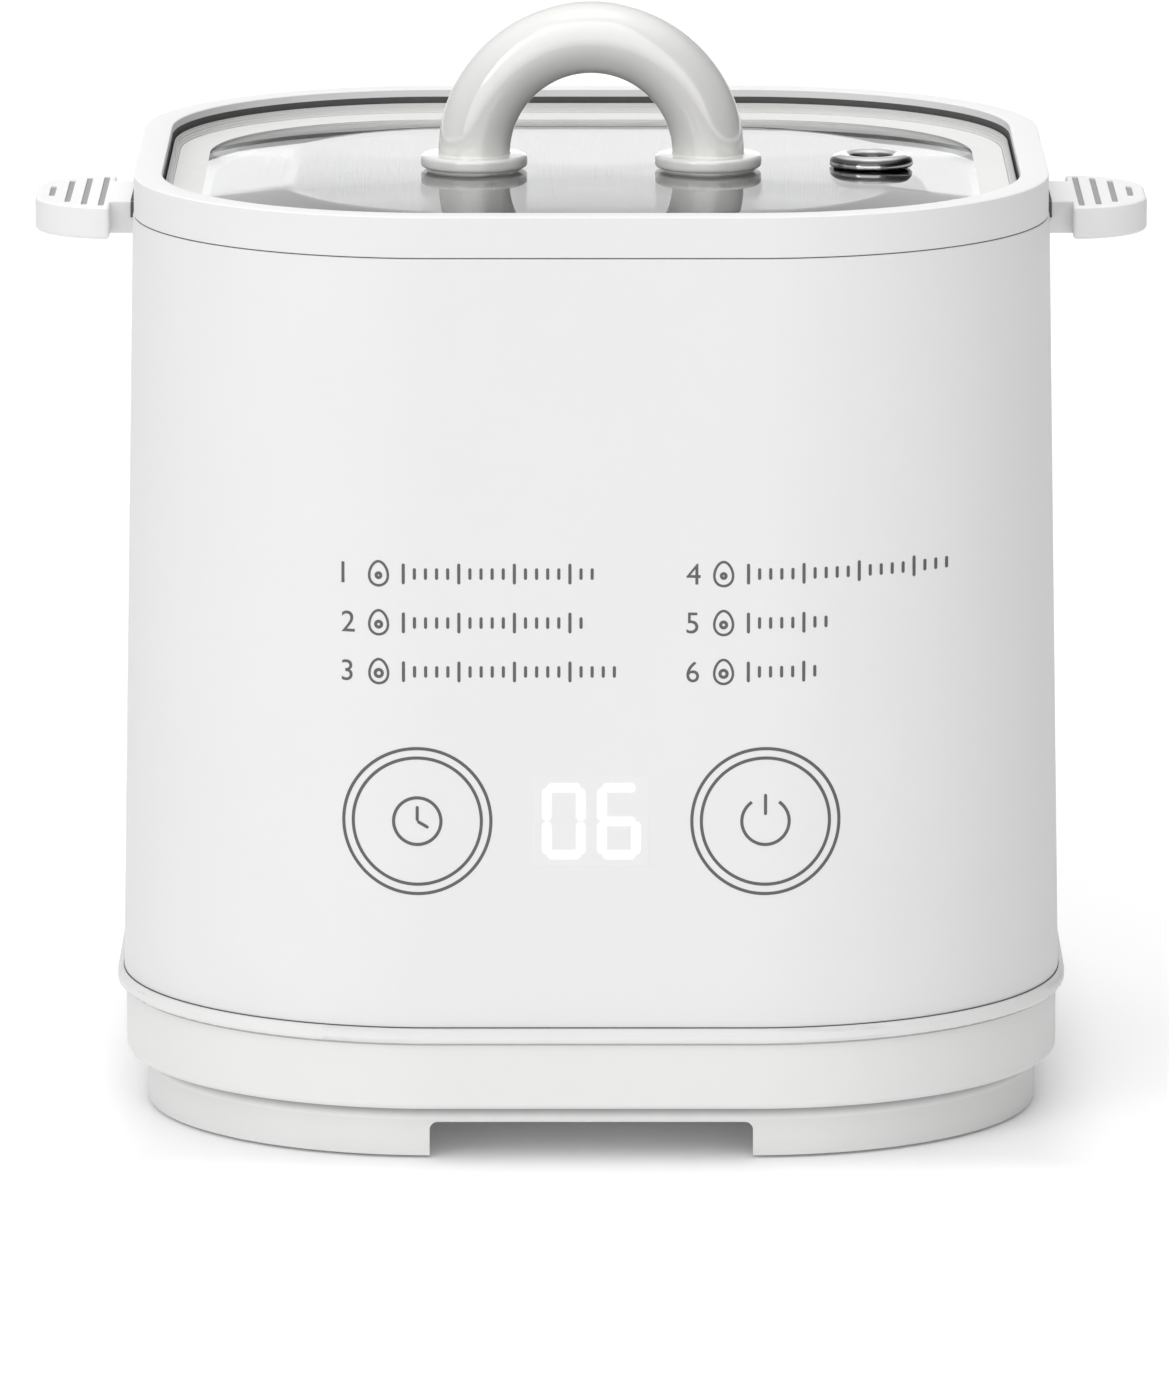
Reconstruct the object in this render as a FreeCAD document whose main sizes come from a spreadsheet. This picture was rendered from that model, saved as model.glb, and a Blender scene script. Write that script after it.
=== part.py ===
"""Egg cooker: a white housing on a rounded-square plan, with a glass lid, an egg tray and a steam chamber."""
import math
import os

import FreeCAD
import Part
import Sketcher

SIZES = (
    ("corner_centre", 31.0, "half of the flat part of each side, where every corner arc is centred"),
    ("shell_top_half", 90.4, "half width of the housing at the seam"),
    ("shell_bottom_half", 93.1, "half width of the housing at the base line"),
    ("shell_height", 151.0, "base line to seam"),
    ("shell_wall", 2.5, "housing wall"),
    ("window_clear", 0.2, "clearance round what passes through the housing wall"),
    ("collar_inset", 0.2, "collar set in from the housing at the seam"),
    ("collar_height", 8.2, "seam to collar top"),
    ("collar_top_width", 5.6, "width of the collar's flat top"),
    ("collar_round", 0.8, "rounding of the collar's top edges"),
    ("sleeve_clear", 0.3, "gap between the collar's sleeve and the housing"),
    ("mouth_margin", 1.0, "collar's mouth outside the chamber wall"),
    ("ledge_thick", 2.0, "ledge that carries the lid"),
    ("part_clear", 0.5, "gap between neighbours inside the housing"),
    ("lid_drop", 4.6, "collar top down to the glass"),
    ("lid_gap", 0.7, "gap between the lid and the collar"),
    ("lid_rest_gap", 0.2, "clearance between the lid and its ledge"),
    ("glass_thick", 4.0, "lid glass"),
    ("glass_clear", 0.1, "gap between the glass and its rim"),
    ("glass_round", 0.5, "rounding of the glass edge"),
    ("rim_drop", 2.2, "collar top down to the rim's top"),
    ("rim_wall", 1.6, "wall of the lid's rim"),
    ("rim_round", 0.7, "rounding of the rim's top"),
    ("rim_flange", 4.0, "rim's flange below the glass"),
    ("rim_flange_thick", 1.0, "thickness of that flange"),
    ("handle_radius", 23.35, "centre line radius of the lid's handle"),
    ("handle_tube", 7.2, "radius of the handle's round section"),
    ("handle_bore_depth", 10.0, "screw hole in each end of the handle"),
    ("foot_collar_radius", 10.7, "collar under each end of the handle"),
    ("foot_collar_height", 3.8, "height of that collar"),
    ("foot_collar_round", 1.4, "rounding of that collar"),
    ("handle_screw_radius", 2.0, "shank of a handle screw"),
    ("handle_hole_radius", 2.4, "hole for a handle screw"),
    ("handle_head_radius", 4.0, "head of a handle screw"),
    ("handle_head_height", 2.2, "height of that head"),
    ("washer_radius", 7.0, "washer under the glass"),
    ("washer_thick", 1.2, "thickness of that washer"),
    ("vent_x", 56.0, "vent, to the right of the handle"),
    ("vent_y", 4.0, "vent, behind the middle"),
    ("vent_radius", 8.4, "outside of the vent's ring"),
    ("vent_bore", 3.6, "steam hole"),
    ("vent_height", 3.2, "vent above the glass"),
    ("vent_round", 1.5, "rounding of the vent's ring"),
    ("vent_barrel", 5.2, "vent's barrel through the glass"),
    ("vent_hole", 5.4, "hole in the glass for the barrel"),
    ("vent_nut_radius", 7.6, "nut under the glass"),
    ("vent_nut_height", 2.0, "height of that nut"),
    ("ear_gap", 5.1, "housing to the inner edge of an ear's paddle"),
    ("ear_reach", 15.2, "paddle, inner edge to tip"),
    ("ear_half", 22.0, "half length of the paddle"),
    ("ear_height", 6.4, "paddle and neck"),
    ("ear_drop", 0.3, "seam down to the ear's top"),
    ("ear_round", 0.8, "rounding of the paddle's edges"),
    ("neck_half", 13.5, "half length of the neck"),
    ("slot_first", 1.8, "first groove from the paddle's inner edge"),
    ("slot_pitch", 3.4, "groove to groove"),
    ("slot_half_width", 0.6, "half width of a groove"),
    ("slot_reach", 19.5, "half length of the longest groove"),
    ("slot_margin", 0.7, "last groove to where its length would vanish"),
    ("slot_depth", 1.6, "depth of a groove"),
    ("ear_plate_thick", 1.6, "plate that holds an ear from inside"),
    ("ear_plate_half", 15.5, "half length of that plate"),
    ("ear_plate_height", 6.6, "height of that plate"),
    ("ear_screw_spread", 8.0, "ear screw from the middle"),
    ("ear_screw_radius", 1.25, "shank of an ear screw"),
    ("ear_screw_length", 11.0, "length of that shank"),
    ("ear_head_radius", 2.2, "head of an ear screw, sunk in the plate"),
    ("ear_head_height", 0.9, "height of that head"),
    ("fit_clear", 0.05, "gap round a fastener in its hole"),
    ("foot_proud", 0.6, "rubber feet below the skirt"),
    ("skirt_height", 10.0, "skirt below the base band"),
    ("skirt_inset", 4.2, "skirt set in from the base band"),
    ("skirt_wall", 3.0, "wall of the skirt"),
    ("skirt_cut_half", 31.6, "half length of the cut-outs in the skirt"),
    ("skirt_cut_height", 6.7, "height of those cut-outs"),
    ("skirt_cut_round", 1.6, "corners of those cut-outs"),
    ("cover_thick", 2.0, "bottom plate"),
    ("pillar_radius", 8.0, "pillar over each rubber foot"),
    ("pillar_margin", 1.2, "pillar to the skirt's wall"),
    ("foot_radius", 6.0, "rubber foot"),
    ("foot_thick", 2.4, "rubber foot"),
    ("foot_clear", 0.2, "gap round a rubber foot"),
    ("base_head_bore", 4.0, "bore for the head of a base screw"),
    ("base_head_radius", 3.5, "head of a base screw"),
    ("base_head_height", 2.2, "height of that head"),
    ("base_screw_radius", 1.6, "shank of a base screw"),
    ("base_screw_length", 11.0, "length of that shank"),
    ("band_inset", 0.4, "base band set in from the housing"),
    ("band_height", 13.4, "base band"),
    ("band_round", 1.2, "rounding of the band's lower edge"),
    ("band_flange", 18.0, "width of the flange that the bottom plate screws to"),
    ("band_flange_thick", 2.5, "thickness of that flange"),
    ("lip_proud", 1.3, "lip outside the housing"),
    ("lip_height", 3.0, "lip between housing and base band"),
    ("lip_round", 1.1, "rounding of the lip"),
    ("spigot_wall", 2.4, "spigot inside the housing's lower end"),
    ("spigot_height", 6.0, "height of that spigot"),
    ("boss_radius", 5.0, "boss for the base screws"),
    ("deck_rise", 2.4, "base line up to the heat shield"),
    ("deck_thick", 1.2, "heat shield sheet"),
    ("deck_hole", 18.0, "hole in the heat shield"),
    ("deck_screw_radius", 1.6, "shank of a heat shield screw"),
    ("deck_screw_length", 7.0, "length of that shank"),
    ("deck_head_radius", 3.2, "head of a heat shield screw"),
    ("deck_head_height", 2.0, "height of that head"),
    ("heater_post_spread", 27.0, "heater post from the middle, each way"),
    ("heater_post_radius", 3.5, "heater post"),
    ("heater_post_height", 13.0, "heater post"),
    ("heating_plate_radius", 50.0, "heating plate"),
    ("heating_plate_thick", 8.0, "heating plate"),
    ("heating_plate_hole", 9.0, "hole for the sensor"),
    ("heating_plate_round", 1.5, "rounding of the heating plate"),
    ("element_ring", 20.0, "ring radius of the heating element"),
    ("element_tube", 3.2, "tube radius of the heating element"),
    ("element_sweep", 300.0, "sweep of the heating element"),
    ("sensor_radius", 7.0, "temperature sensor"),
    ("sensor_stem", 3.0, "stem of the sensor"),
    ("sensor_cap_height", 4.0, "cap of the sensor"),
    ("fuse_radius", 2.0, "thermal fuse"),
    ("fuse_length", 12.0, "thermal fuse"),
    ("fuse_y", 42.0, "thermal fuse behind the middle"),
    ("chamber_inset", 15.4, "chamber wall in from the narrower end of the housing"),
    ("chamber_wall", 0.8, "sheet of the steam chamber"),
    ("boiling_margin", 3.0, "boiling plate outside the chamber wall"),
    ("seal_width", 5.0, "width of the seal on the chamber's flange"),
    ("seal_thick", 0.8, "thickness of the seal"),
    ("tray_gap", 1.5, "egg tray to the chamber wall"),
    ("tray_thick", 3.0, "egg tray"),
    ("tray_round", 0.8, "rounding of the tray's edge"),
    ("tray_rest_gap", 0.2, "clearance between the tray's legs and the boiling plate"),
    ("tray_leg_height", 23.0, "leg of the tray"),
    ("tray_leg_radius", 3.0, "leg of the tray"),
    ("tray_leg_margin", 1.9, "leg to the tray's edge"),
    ("seat_radius", 16.0, "egg seat"),
    ("seat_margin", 5.9, "corner egg seat to the tray's edge"),
    ("seat_depth", 1.4, "depth of an egg seat"),
    ("steam_hole", 1.9, "steam hole in an egg seat"),
    ("steam_ring", 8.0, "ring of steam holes round the middle of a seat"),
    ("post_radius", 4.0, "lifting post"),
    ("post_height", 62.0, "lifting post"),
    ("knob_radius", 11.0, "knob on the lifting post"),
    ("knob_height", 10.0, "height of that knob"),
    ("knob_round", 3.0, "rounding of that knob"),
    ("display_rise", 41.0, "base line up to the middle of the display and the touch keys"),
    ("key_x", 33.8, "touch key from the middle"),
    ("board_setback", 6.8, "front face of the control board behind the housing wall"),
    ("board_margin", 6.0, "control board boss to the board's edge"),
    ("board_thick", 1.6, "circuit boards"),
    ("board_boss_x", 46.0, "control board boss from the middle"),
    ("board_boss_z", 22.0, "control board boss above or below the display"),
    ("board_boss_radius", 3.0, "control board boss"),
    ("board_screw_radius", 1.2, "shank of a control board screw"),
    ("board_screw_length", 4.6, "length of that shank"),
    ("board_head_radius", 2.4, "head of a control board screw"),
    ("board_head_height", 1.8, "height of that head"),
    ("display_half", 13.5, "half length of the display module"),
    ("display_height", 19.0, "height of the display module"),
    ("display_depth", 5.8, "depth of the display module"),
    ("key_pad_radius", 6.0, "foam pad behind a touch key"),
    ("key_pad_depth", 5.8, "depth of that pad"),
    ("power_board_length", 96.0, "power board"),
    ("power_board_width", 70.0, "power board"),
    ("board_post_height", 4.8, "post under the power board"),
    ("board_post_radius", 3.0, "post under the power board"),
    ("board_post_margin", 6.0, "post from the power board's edge"),
    ("relay_length", 19.0, "relay"),
    ("relay_width", 15.0, "relay"),
    ("relay_height", 9.5, "relay"),
    ("transformer_length", 24.0, "transformer"),
    ("transformer_width", 22.0, "transformer"),
    ("transformer_height", 10.0, "transformer"),
    ("capacitor_radius", 5.0, "filter capacitor"),
    ("capacitor_height", 10.0, "filter capacitor"),
    ("part_margin", 20.0, "middle of a tall part to the end of the power board"),
    ("inlet_rise", 19.0, "base line up to the middle of the mains inlet"),
    ("inlet_proud", 0.5, "face of the mains inlet outside the housing wall"),
    ("inlet_depth", 15.0, "depth of the mains inlet"),
    ("inlet_half", 13.0, "half length of the mains inlet"),
    ("inlet_height", 15.0, "height of the mains inlet"),
    ("inlet_lug", 2.0, "lug behind the housing wall"),
    ("inlet_lug_thick", 2.0, "thickness of that lug"),
    ("socket_half", 8.5, "half length of the socket"),
    ("socket_height", 9.0, "height of the socket"),
    ("socket_depth", 12.0, "depth of the socket"),
    ("pin_spread", 4.3, "pin from the socket's middle"),
    ("pin_radius", 1.2, "pin"),
    ("pin_length", 10.0, "pin in the socket"),
)

BAND_BOTTOM = "(sizes.foot_proud + sizes.skirt_height)"
LIP_BOTTOM = f"({BAND_BOTTOM} + sizes.band_height)"
BASE_LINE = f"({LIP_BOTTOM} + sizes.lip_height)"
SEAM = f"({BASE_LINE} + sizes.shell_height)"
COLLAR_TOP = f"({SEAM} + sizes.collar_height)"
GLASS_TOP = f"({COLLAR_TOP} - sizes.lid_drop)"
GLASS_BOTTOM = f"({GLASS_TOP} - sizes.glass_thick)"
RIM_TOP = f"({COLLAR_TOP} - sizes.rim_drop)"
RIM_BOTTOM = f"({GLASS_BOTTOM} - sizes.rim_flange_thick)"
LEDGE_TOP = f"({RIM_BOTTOM} - sizes.lid_rest_gap)"
LEDGE_BOTTOM = f"({LEDGE_TOP} - sizes.ledge_thick)"
FLANGE_TOP = f"({LEDGE_BOTTOM} - sizes.seal_thick)"
EAR_BOTTOM = f"({SEAM} - sizes.ear_drop - sizes.ear_height)"
EAR_MIDDLE = f"({EAR_BOTTOM} + sizes.ear_height / 2)"
PLATE_BOTTOM = f"({BAND_BOTTOM} - sizes.cover_thick)"
DECK_BOTTOM = f"({BASE_LINE} + sizes.deck_rise)"
DECK_TOP = f"({DECK_BOTTOM} + sizes.deck_thick)"
HEATER_BOTTOM = f"({DECK_TOP} + sizes.heater_post_height)"
HEATER_TOP = f"({HEATER_BOTTOM} + sizes.heating_plate_thick)"
CHAMBER_FLOOR = f"({HEATER_TOP} + sizes.chamber_wall)"
TRAY_FOOT = f"({CHAMBER_FLOOR} + sizes.tray_rest_gap)"
TRAY_BOTTOM = f"({TRAY_FOOT} + sizes.tray_leg_height)"
TRAY_TOP = f"({TRAY_BOTTOM} + sizes.tray_thick)"
POST_TOP = f"({TRAY_TOP} + sizes.post_height)"
HANDLE_FOOT = f"({GLASS_TOP} + sizes.foot_collar_height)"
BOARD_BOTTOM = f"({BAND_BOTTOM} + sizes.board_post_height)"
BOARD_TOP = f"({BOARD_BOTTOM} + sizes.board_thick)"

DISPLAY_Z = f"({BASE_LINE} + sizes.display_rise)"
INLET_Z = f"({BASE_LINE} + sizes.inlet_rise)"
INLET_BOTTOM = f"({INLET_Z} - sizes.inlet_height / 2)"

COLLAR_HALF = "(sizes.shell_top_half - sizes.collar_inset)"
COLLAR_OPENING = f"({COLLAR_HALF} - sizes.collar_top_width)"
SLEEVE_HALF = "(sizes.shell_top_half - sizes.shell_wall - sizes.sleeve_clear)"
CHAMBER_HALF = "(min(sizes.shell_top_half; sizes.shell_bottom_half) - sizes.chamber_inset)"
MOUTH_HALF = f"({CHAMBER_HALF} + sizes.mouth_margin)"
RIM_HALF = f"({COLLAR_OPENING} - sizes.lid_gap)"
GLASS_HALF = f"({RIM_HALF} - sizes.rim_wall - sizes.glass_clear)"
EAR_INNER = "(sizes.shell_top_half + sizes.ear_gap)"
NECK_INNER = "(sizes.shell_top_half - sizes.shell_wall - sizes.part_clear)"
EAR_PLATE_FACE = f"({NECK_INNER} - sizes.ear_plate_thick)"
EAR_HEAD_SEAT = f"({EAR_PLATE_FACE} + sizes.ear_head_height)"
NOTCH_INNER = f"({EAR_PLATE_FACE} - sizes.part_clear)"
NOTCH_HALF = "(sizes.ear_plate_half + sizes.part_clear)"
CHAMBER_FLANGE_HALF = f"({NOTCH_INNER} - sizes.part_clear)"
SEAL_HALF = f"({CHAMBER_FLANGE_HALF} - sizes.part_clear)"
CHAMBER_INNER = f"({CHAMBER_HALF} - sizes.chamber_wall)"
TRAY_HALF = f"({CHAMBER_INNER} - sizes.tray_gap)"
BAND_HALF = "(sizes.shell_bottom_half - sizes.band_inset)"
LIP_HALF = "(sizes.shell_bottom_half + sizes.lip_proud)"
SPIGOT_HALF = "(sizes.shell_bottom_half - sizes.shell_wall - sizes.sleeve_clear)"
SPIGOT_INNER = f"({SPIGOT_HALF} - sizes.spigot_wall)"
BAND_FLANGE_HALF = f"({SPIGOT_INNER} - sizes.band_flange)"
DECK_HALF = f"({SPIGOT_INNER} - sizes.part_clear)"
SKIRT_HALF = f"({BAND_HALF} - sizes.skirt_inset)"
SKIRT_INNER = f"({SKIRT_HALF} - sizes.skirt_wall)"
DIAGONAL = "sqrt(0.5)"
FOOT_HALF = f"({SKIRT_INNER} - sizes.pillar_radius - sizes.pillar_margin)"
FOOT_SPREAD = f"(sizes.corner_centre + ({FOOT_HALF} - sizes.corner_centre) * {DIAGONAL})"
SEAT_HALF = f"({TRAY_HALF} - sizes.seat_radius - sizes.seat_margin)"
SEAT_PITCH = f"(sizes.corner_centre + ({SEAT_HALF} - sizes.corner_centre) * {DIAGONAL})"
LEG_HALF = f"({TRAY_HALF} - sizes.tray_leg_radius - sizes.tray_leg_margin)"
LEG_SPREAD = f"(sizes.corner_centre + ({LEG_HALF} - sizes.corner_centre) * {DIAGONAL})"
SHELL_LEAN = "((sizes.shell_bottom_half - sizes.shell_top_half) / sizes.shell_height)"
WALL_AT_DISPLAY = f"(sizes.shell_bottom_half - {SHELL_LEAN} * sizes.display_rise - sizes.shell_wall)"
BOARD_FRONT = f"({WALL_AT_DISPLAY} - sizes.board_setback)"
BOARD_HALF = "(sizes.board_boss_x + sizes.board_margin)"
BOARD_HEIGHT = "(2 * (sizes.board_boss_z + sizes.board_margin))"
BOSS_SIDE = "(sizes.board_boss_x - sizes.corner_centre)"
PART_SPREAD = "(sizes.power_board_length / 2 - sizes.part_margin)"
WALL_AT_INLET = f"(sizes.shell_bottom_half - {SHELL_LEAN} * sizes.inlet_rise)"
INLET_FACE = f"({WALL_AT_INLET} + sizes.inlet_proud)"
INLET_BACK = f"({INLET_FACE} - sizes.inlet_depth)"
BOILING_HALF = f"min({CHAMBER_HALF} + sizes.boiling_margin; {INLET_BACK} - sizes.part_clear)"
INLET_LUG_FACE = f"({WALL_AT_INLET} - sizes.shell_wall - sizes.part_clear)"

SIDES = (("left", -1), ("right", 1))
QUARTERS = ((1, 1), (-1, 1), (-1, -1), (1, -1))
AXES = {
    "up": FreeCAD.Rotation(),
    "right": FreeCAD.Rotation(FreeCAD.Vector(0, 1, 0), 90),
    "left": FreeCAD.Rotation(FreeCAD.Vector(0, 1, 0), -90),
    "back": FreeCAD.Rotation(FreeCAD.Vector(1, 0, 0), -90),
    "front": FreeCAD.Rotation(FreeCAD.Vector(1, 0, 0), 90),
}
TOLERANCE = 1e-4

doc = FreeCAD.newDocument("egg_cooker")
sizes = doc.addObject("Spreadsheet::Sheet", "sizes")
nodes = []


def fill_sheet():
    """Put every driving size in the sheet under its own name."""
    for row, (alias, number, note) in enumerate(SIZES, start=1):
        sizes.set(f"A{row}", note)
        sizes.set(f"B{row}", str(number))
        sizes.setAlias(f"B{row}", alias)
    doc.recompute()


def value(expression):
    """The present value of an expression in the sheet's sizes."""
    return float(sizes.evalExpression(expression))


def node(label, shape_object):
    """Name a finished sub-part."""
    shape_object.Label = label
    nodes.append(shape_object)
    return shape_object


def new_body(name):
    """An empty body for sketched features."""
    return doc.addObject("PartDesign::Body", name)


def new_sketch(body, name, level):
    """A level sketch at a height."""
    sketch = body.newObject("Sketcher::SketchObject", name)
    plane = next(part for part in body.Origin.OriginFeatures if part.Role == "XY_Plane")
    sketch.AttachmentSupport = [(plane, "")]
    sketch.MapMode = "FlatFace"
    sketch.setExpression("AttachmentOffset.Base.z", level)
    return sketch


def bind(sketch, kind, where, expression):
    """Add a measured constraint and tie it to the sheet."""
    index = sketch.addConstraint(Sketcher.Constraint(kind, *where, value(expression)))
    sketch.setExpression(f"Constraints[{index}]", expression)


def pin_centre(sketch, arc, side_x, side_y, x, y):
    """Fix the centre of an arc or circle at signed distances from the origin."""
    for kind, side, distance in (("DistanceX", side_x, x), ("DistanceY", side_y, y)):
        ends = (-1, 1, arc, 3) if side > 0 else (arc, 3, -1, 1)
        bind(sketch, kind, ends, distance)


def arc_of(x, y, radius, start, end):
    """A circular arc between two angles in degrees."""
    circle = Part.Circle(FreeCAD.Vector(x, y, 0), FreeCAD.Vector(0, 0, 1), radius)
    return Part.ArcOfCircle(circle, math.radians(start), math.radians(end))


def close_with_lines(sketch, arcs):
    """Join arcs end to start with tangent lines."""
    for arc, following in zip(arcs, arcs[1:] + arcs[:1]):
        line = sketch.addGeometry(Part.LineSegment(sketch.getPoint(arc, 2), sketch.getPoint(following, 1)))
        sketch.addConstraint(Sketcher.Constraint("Tangent", arc, 2, line, 1))
        sketch.addConstraint(Sketcher.Constraint("Tangent", line, 2, following, 1))


def outline(body, name, half, level):
    """The plan of the cooker at one half width: four flat sides joined by corner arcs."""
    sketch = new_sketch(body, name, level)
    centre = value("sizes.corner_centre")
    radius = f"{half} - sizes.corner_centre"
    arcs = []
    for turn, (side_x, side_y) in enumerate(QUARTERS):
        start = 90 * turn
        arcs.append(sketch.addGeometry(
            arc_of(side_x * centre, side_y * centre, value(radius), start, start + 90)))
    close_with_lines(sketch, arcs)
    for arc, (side_x, side_y) in zip(arcs, QUARTERS):
        pin_centre(sketch, arc, side_x, side_y, "sizes.corner_centre", "sizes.corner_centre")
    bind(sketch, "Radius", (arcs[0],), radius)
    for arc in arcs[1:]:
        sketch.addConstraint(Sketcher.Constraint("Equal", arcs[0], arc))
    return sketch


def rings(body, name, level, radii):
    """A level sketch of circles about the body's own axis."""
    sketch = new_sketch(body, name, level)
    for radius in radii:
        circle = sketch.addGeometry(Part.Circle(FreeCAD.Vector(), FreeCAD.Vector(0, 0, 1), value(radius)))
        sketch.addConstraint(Sketcher.Constraint("Coincident", circle, 3, -1, 1))
        bind(sketch, "Radius", (circle,), radius)
    return sketch


def pad(body, name, sketch, height):
    """Raise a sketch."""
    feature = body.newObject("PartDesign::Pad", name)
    feature.Profile = sketch
    feature.setExpression("Length", height)
    doc.recompute()
    return feature


def pocket(body, name, sketch, depth):
    """Sink a sketch downwards."""
    feature = body.newObject("PartDesign::Pocket", name)
    feature.Profile = sketch
    feature.setExpression("Length", depth)
    doc.recompute()
    return feature


def slab(body, name, half, bottom, height):
    """A solid slab of the cooker's plan."""
    return pad(body, name, outline(body, f"{name}_plan", half, bottom), height)


def hollow(body, name, half, top, depth):
    """Take the cooker's plan out of a body from a level downwards."""
    return pocket(body, name, outline(body, f"{name}_plan", half, top), depth)


def loft(body, kind, name, low, high):
    """Join or take away the straight-sided form between two outlines."""
    feature = body.newObject(f"PartDesign::{kind}", name)
    feature.Profile = low
    feature.Sections = [high]
    feature.Ruled = True
    doc.recompute()
    return feature


def half_width_at(point):
    """Half width of the cooker's plan that passes through a point."""
    centre = value("sizes.corner_centre")
    return centre + math.hypot(max(abs(point.x) - centre, 0), max(abs(point.y) - centre, 0))


def middle_of(edge):
    """The point halfway along an edge."""
    return edge.valueAt((edge.FirstParameter + edge.LastParameter) / 2)


def plan_edges(feature, half, level):
    """Names of the edges that run round the plan at a half width and a height."""
    wanted = []
    for index, edge in enumerate(feature.Shape.Edges, start=1):
        point = middle_of(edge)
        if abs(point.z - value(level)) < TOLERANCE and abs(half_width_at(point) - value(half)) < TOLERANCE:
            wanted.append(f"Edge{index}")
    return wanted


def flat_edges(feature, level, radius):
    """Names of the circular edges of one radius at a height."""
    wanted = []
    for index, edge in enumerate(feature.Shape.Edges, start=1):
        circular = isinstance(edge.Curve, Part.Circle)
        if circular and abs(edge.Curve.Radius - value(radius)) < TOLERANCE:
            if abs(middle_of(edge).z - value(level)) < TOLERANCE:
                wanted.append(f"Edge{index}")
    return wanted


def rounded(body, name, feature, edges, radius):
    """Round the named edges of a body's last feature."""
    fillet = body.newObject("PartDesign::Fillet", name)
    fillet.Base = (feature, edges)
    fillet.setExpression("Radius", radius)
    doc.recompute()
    return fillet


def place(shape_object, x, y, z):
    """Tie a solid's position to the sheet."""
    for axis, distance in (("x", x), ("y", y), ("z", z)):
        shape_object.setExpression(f"Placement.Base.{axis}", str(distance))


def box(name, length, width, height, x, y, z):
    """A block centred at x and y and standing on z."""
    block = doc.addObject("Part::Box", name)
    block.setExpression("Length", length)
    block.setExpression("Width", width)
    block.setExpression("Height", height)
    place(block, f"{x} - ({length}) / 2", f"{y} - ({width}) / 2", z)
    return block


def rod(name, radius, length, x, y, z, towards="up"):
    """A round bar that starts at a point and runs one way."""
    bar = doc.addObject("Part::Cylinder", name)
    bar.setExpression("Radius", radius)
    bar.setExpression("Height", length)
    bar.Placement = FreeCAD.Placement(FreeCAD.Vector(), AXES[towards])
    place(bar, x, y, z)
    return bar


def fuse(name, pieces):
    """Join pieces that belong to one moulding."""
    joined = doc.addObject("Part::MultiFuse", name)
    joined.Shapes = pieces
    joined.Refine = True
    doc.recompute()
    return joined


def group(label, pieces):
    """Identical loose solids under one name."""
    together = doc.addObject("Part::Compound", f"{label}_set")
    together.Links = pieces
    return node(label, together)


def cut(name, base, tools):
    """Take tools out of a solid."""
    remainder = doc.addObject("Part::Cut", name)
    remainder.Base = base
    remainder.Tool = tools[0] if len(tools) == 1 else fuse(f"{name}_tools", tools)
    remainder.Refine = True
    doc.recompute()
    return remainder


def screw(name, radius, length, head_radius, head_height, x, y, z, towards):
    """A screw whose head ends at a point and whose shank runs on from there."""
    backwards = {"up": "down", "right": "left", "left": "right", "back": "front"}[towards]
    shank = rod(f"{name}_shank", radius, length, x, y, z, towards)
    if backwards == "down":
        head = rod(f"{name}_head", head_radius, head_height, x, y, f"{z} - {head_height}")
    else:
        head = rod(f"{name}_head", head_radius, head_height, x, y, z, backwards)
    return fuse(name, [shank, head])


def corners(spread):
    """Four points at one distance each way from the middle."""
    for side_x, side_y in QUARTERS:
        yield f"({side_x} * {spread})", f"({side_y} * {spread})", f"{side_x}{side_y}".replace("-", "m")


def boss_root(rise):
    """Depth where a control board boss ends in the front wall, at a rise above the base line."""
    reach = f"(sizes.shell_bottom_half - {SHELL_LEAN} * ({rise}) - sizes.shell_wall / 2 - sizes.corner_centre)"
    return f"(sizes.corner_centre + sqrt({reach}^2 - {BOSS_SIDE}^2))"


def build_shell():
    """Tapered housing, open at both ends, with windows for the ears and the mains inlet."""
    body = new_body("shell_walls")
    top_inner = "sizes.shell_top_half - sizes.shell_wall"
    bottom_inner = "sizes.shell_bottom_half - sizes.shell_wall"
    loft(body, "AdditiveLoft", "outside", outline(body, "outside_low", "sizes.shell_bottom_half", BASE_LINE),
         outline(body, "outside_high", "sizes.shell_top_half", SEAM))
    loft(body, "SubtractiveLoft", "inside", outline(body, "inside_low", bottom_inner, BASE_LINE),
         outline(body, "inside_high", top_inner, SEAM))
    bosses = []
    holes = []
    for side_x, side_z in QUARTERS:
        x = f"{side_x} * sizes.board_boss_x"
        z = f"{DISPLAY_Z} + {side_z} * sizes.board_boss_z"
        root = boss_root(f"sizes.display_rise + {side_z} * sizes.board_boss_z")
        bosses.append(rod("board_boss", "sizes.board_boss_radius", f"{root} - {BOARD_FRONT}",
                          x, f"-{root}", z, "back"))
        holes.append(rod("board_boss_hole", "sizes.board_screw_radius + sizes.fit_clear",
                         "sizes.board_screw_length", x, f"-{BOARD_FRONT}", z, "front"))
    windows = []
    clear = "2 * sizes.window_clear"
    for side, sign in SIDES:
        windows.append(box(f"{side}_ear_window", "4 * sizes.shell_wall", f"2 * sizes.neck_half + {clear}",
                           f"sizes.ear_height + {clear}", f"{sign} * sizes.shell_top_half", "0",
                           f"{EAR_BOTTOM} - sizes.window_clear"))
    windows.append(box("inlet_window", f"2 * sizes.inlet_half + {clear}", "4 * sizes.shell_wall",
                       f"sizes.inlet_height + {clear}", "0", "sizes.shell_bottom_half",
                       f"{INLET_BOTTOM} - sizes.window_clear"))
    whole = fuse("shell_with_bosses", [body] + bosses)
    node("outer_shell", cut("shell_cut", whole, windows + holes))


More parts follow.
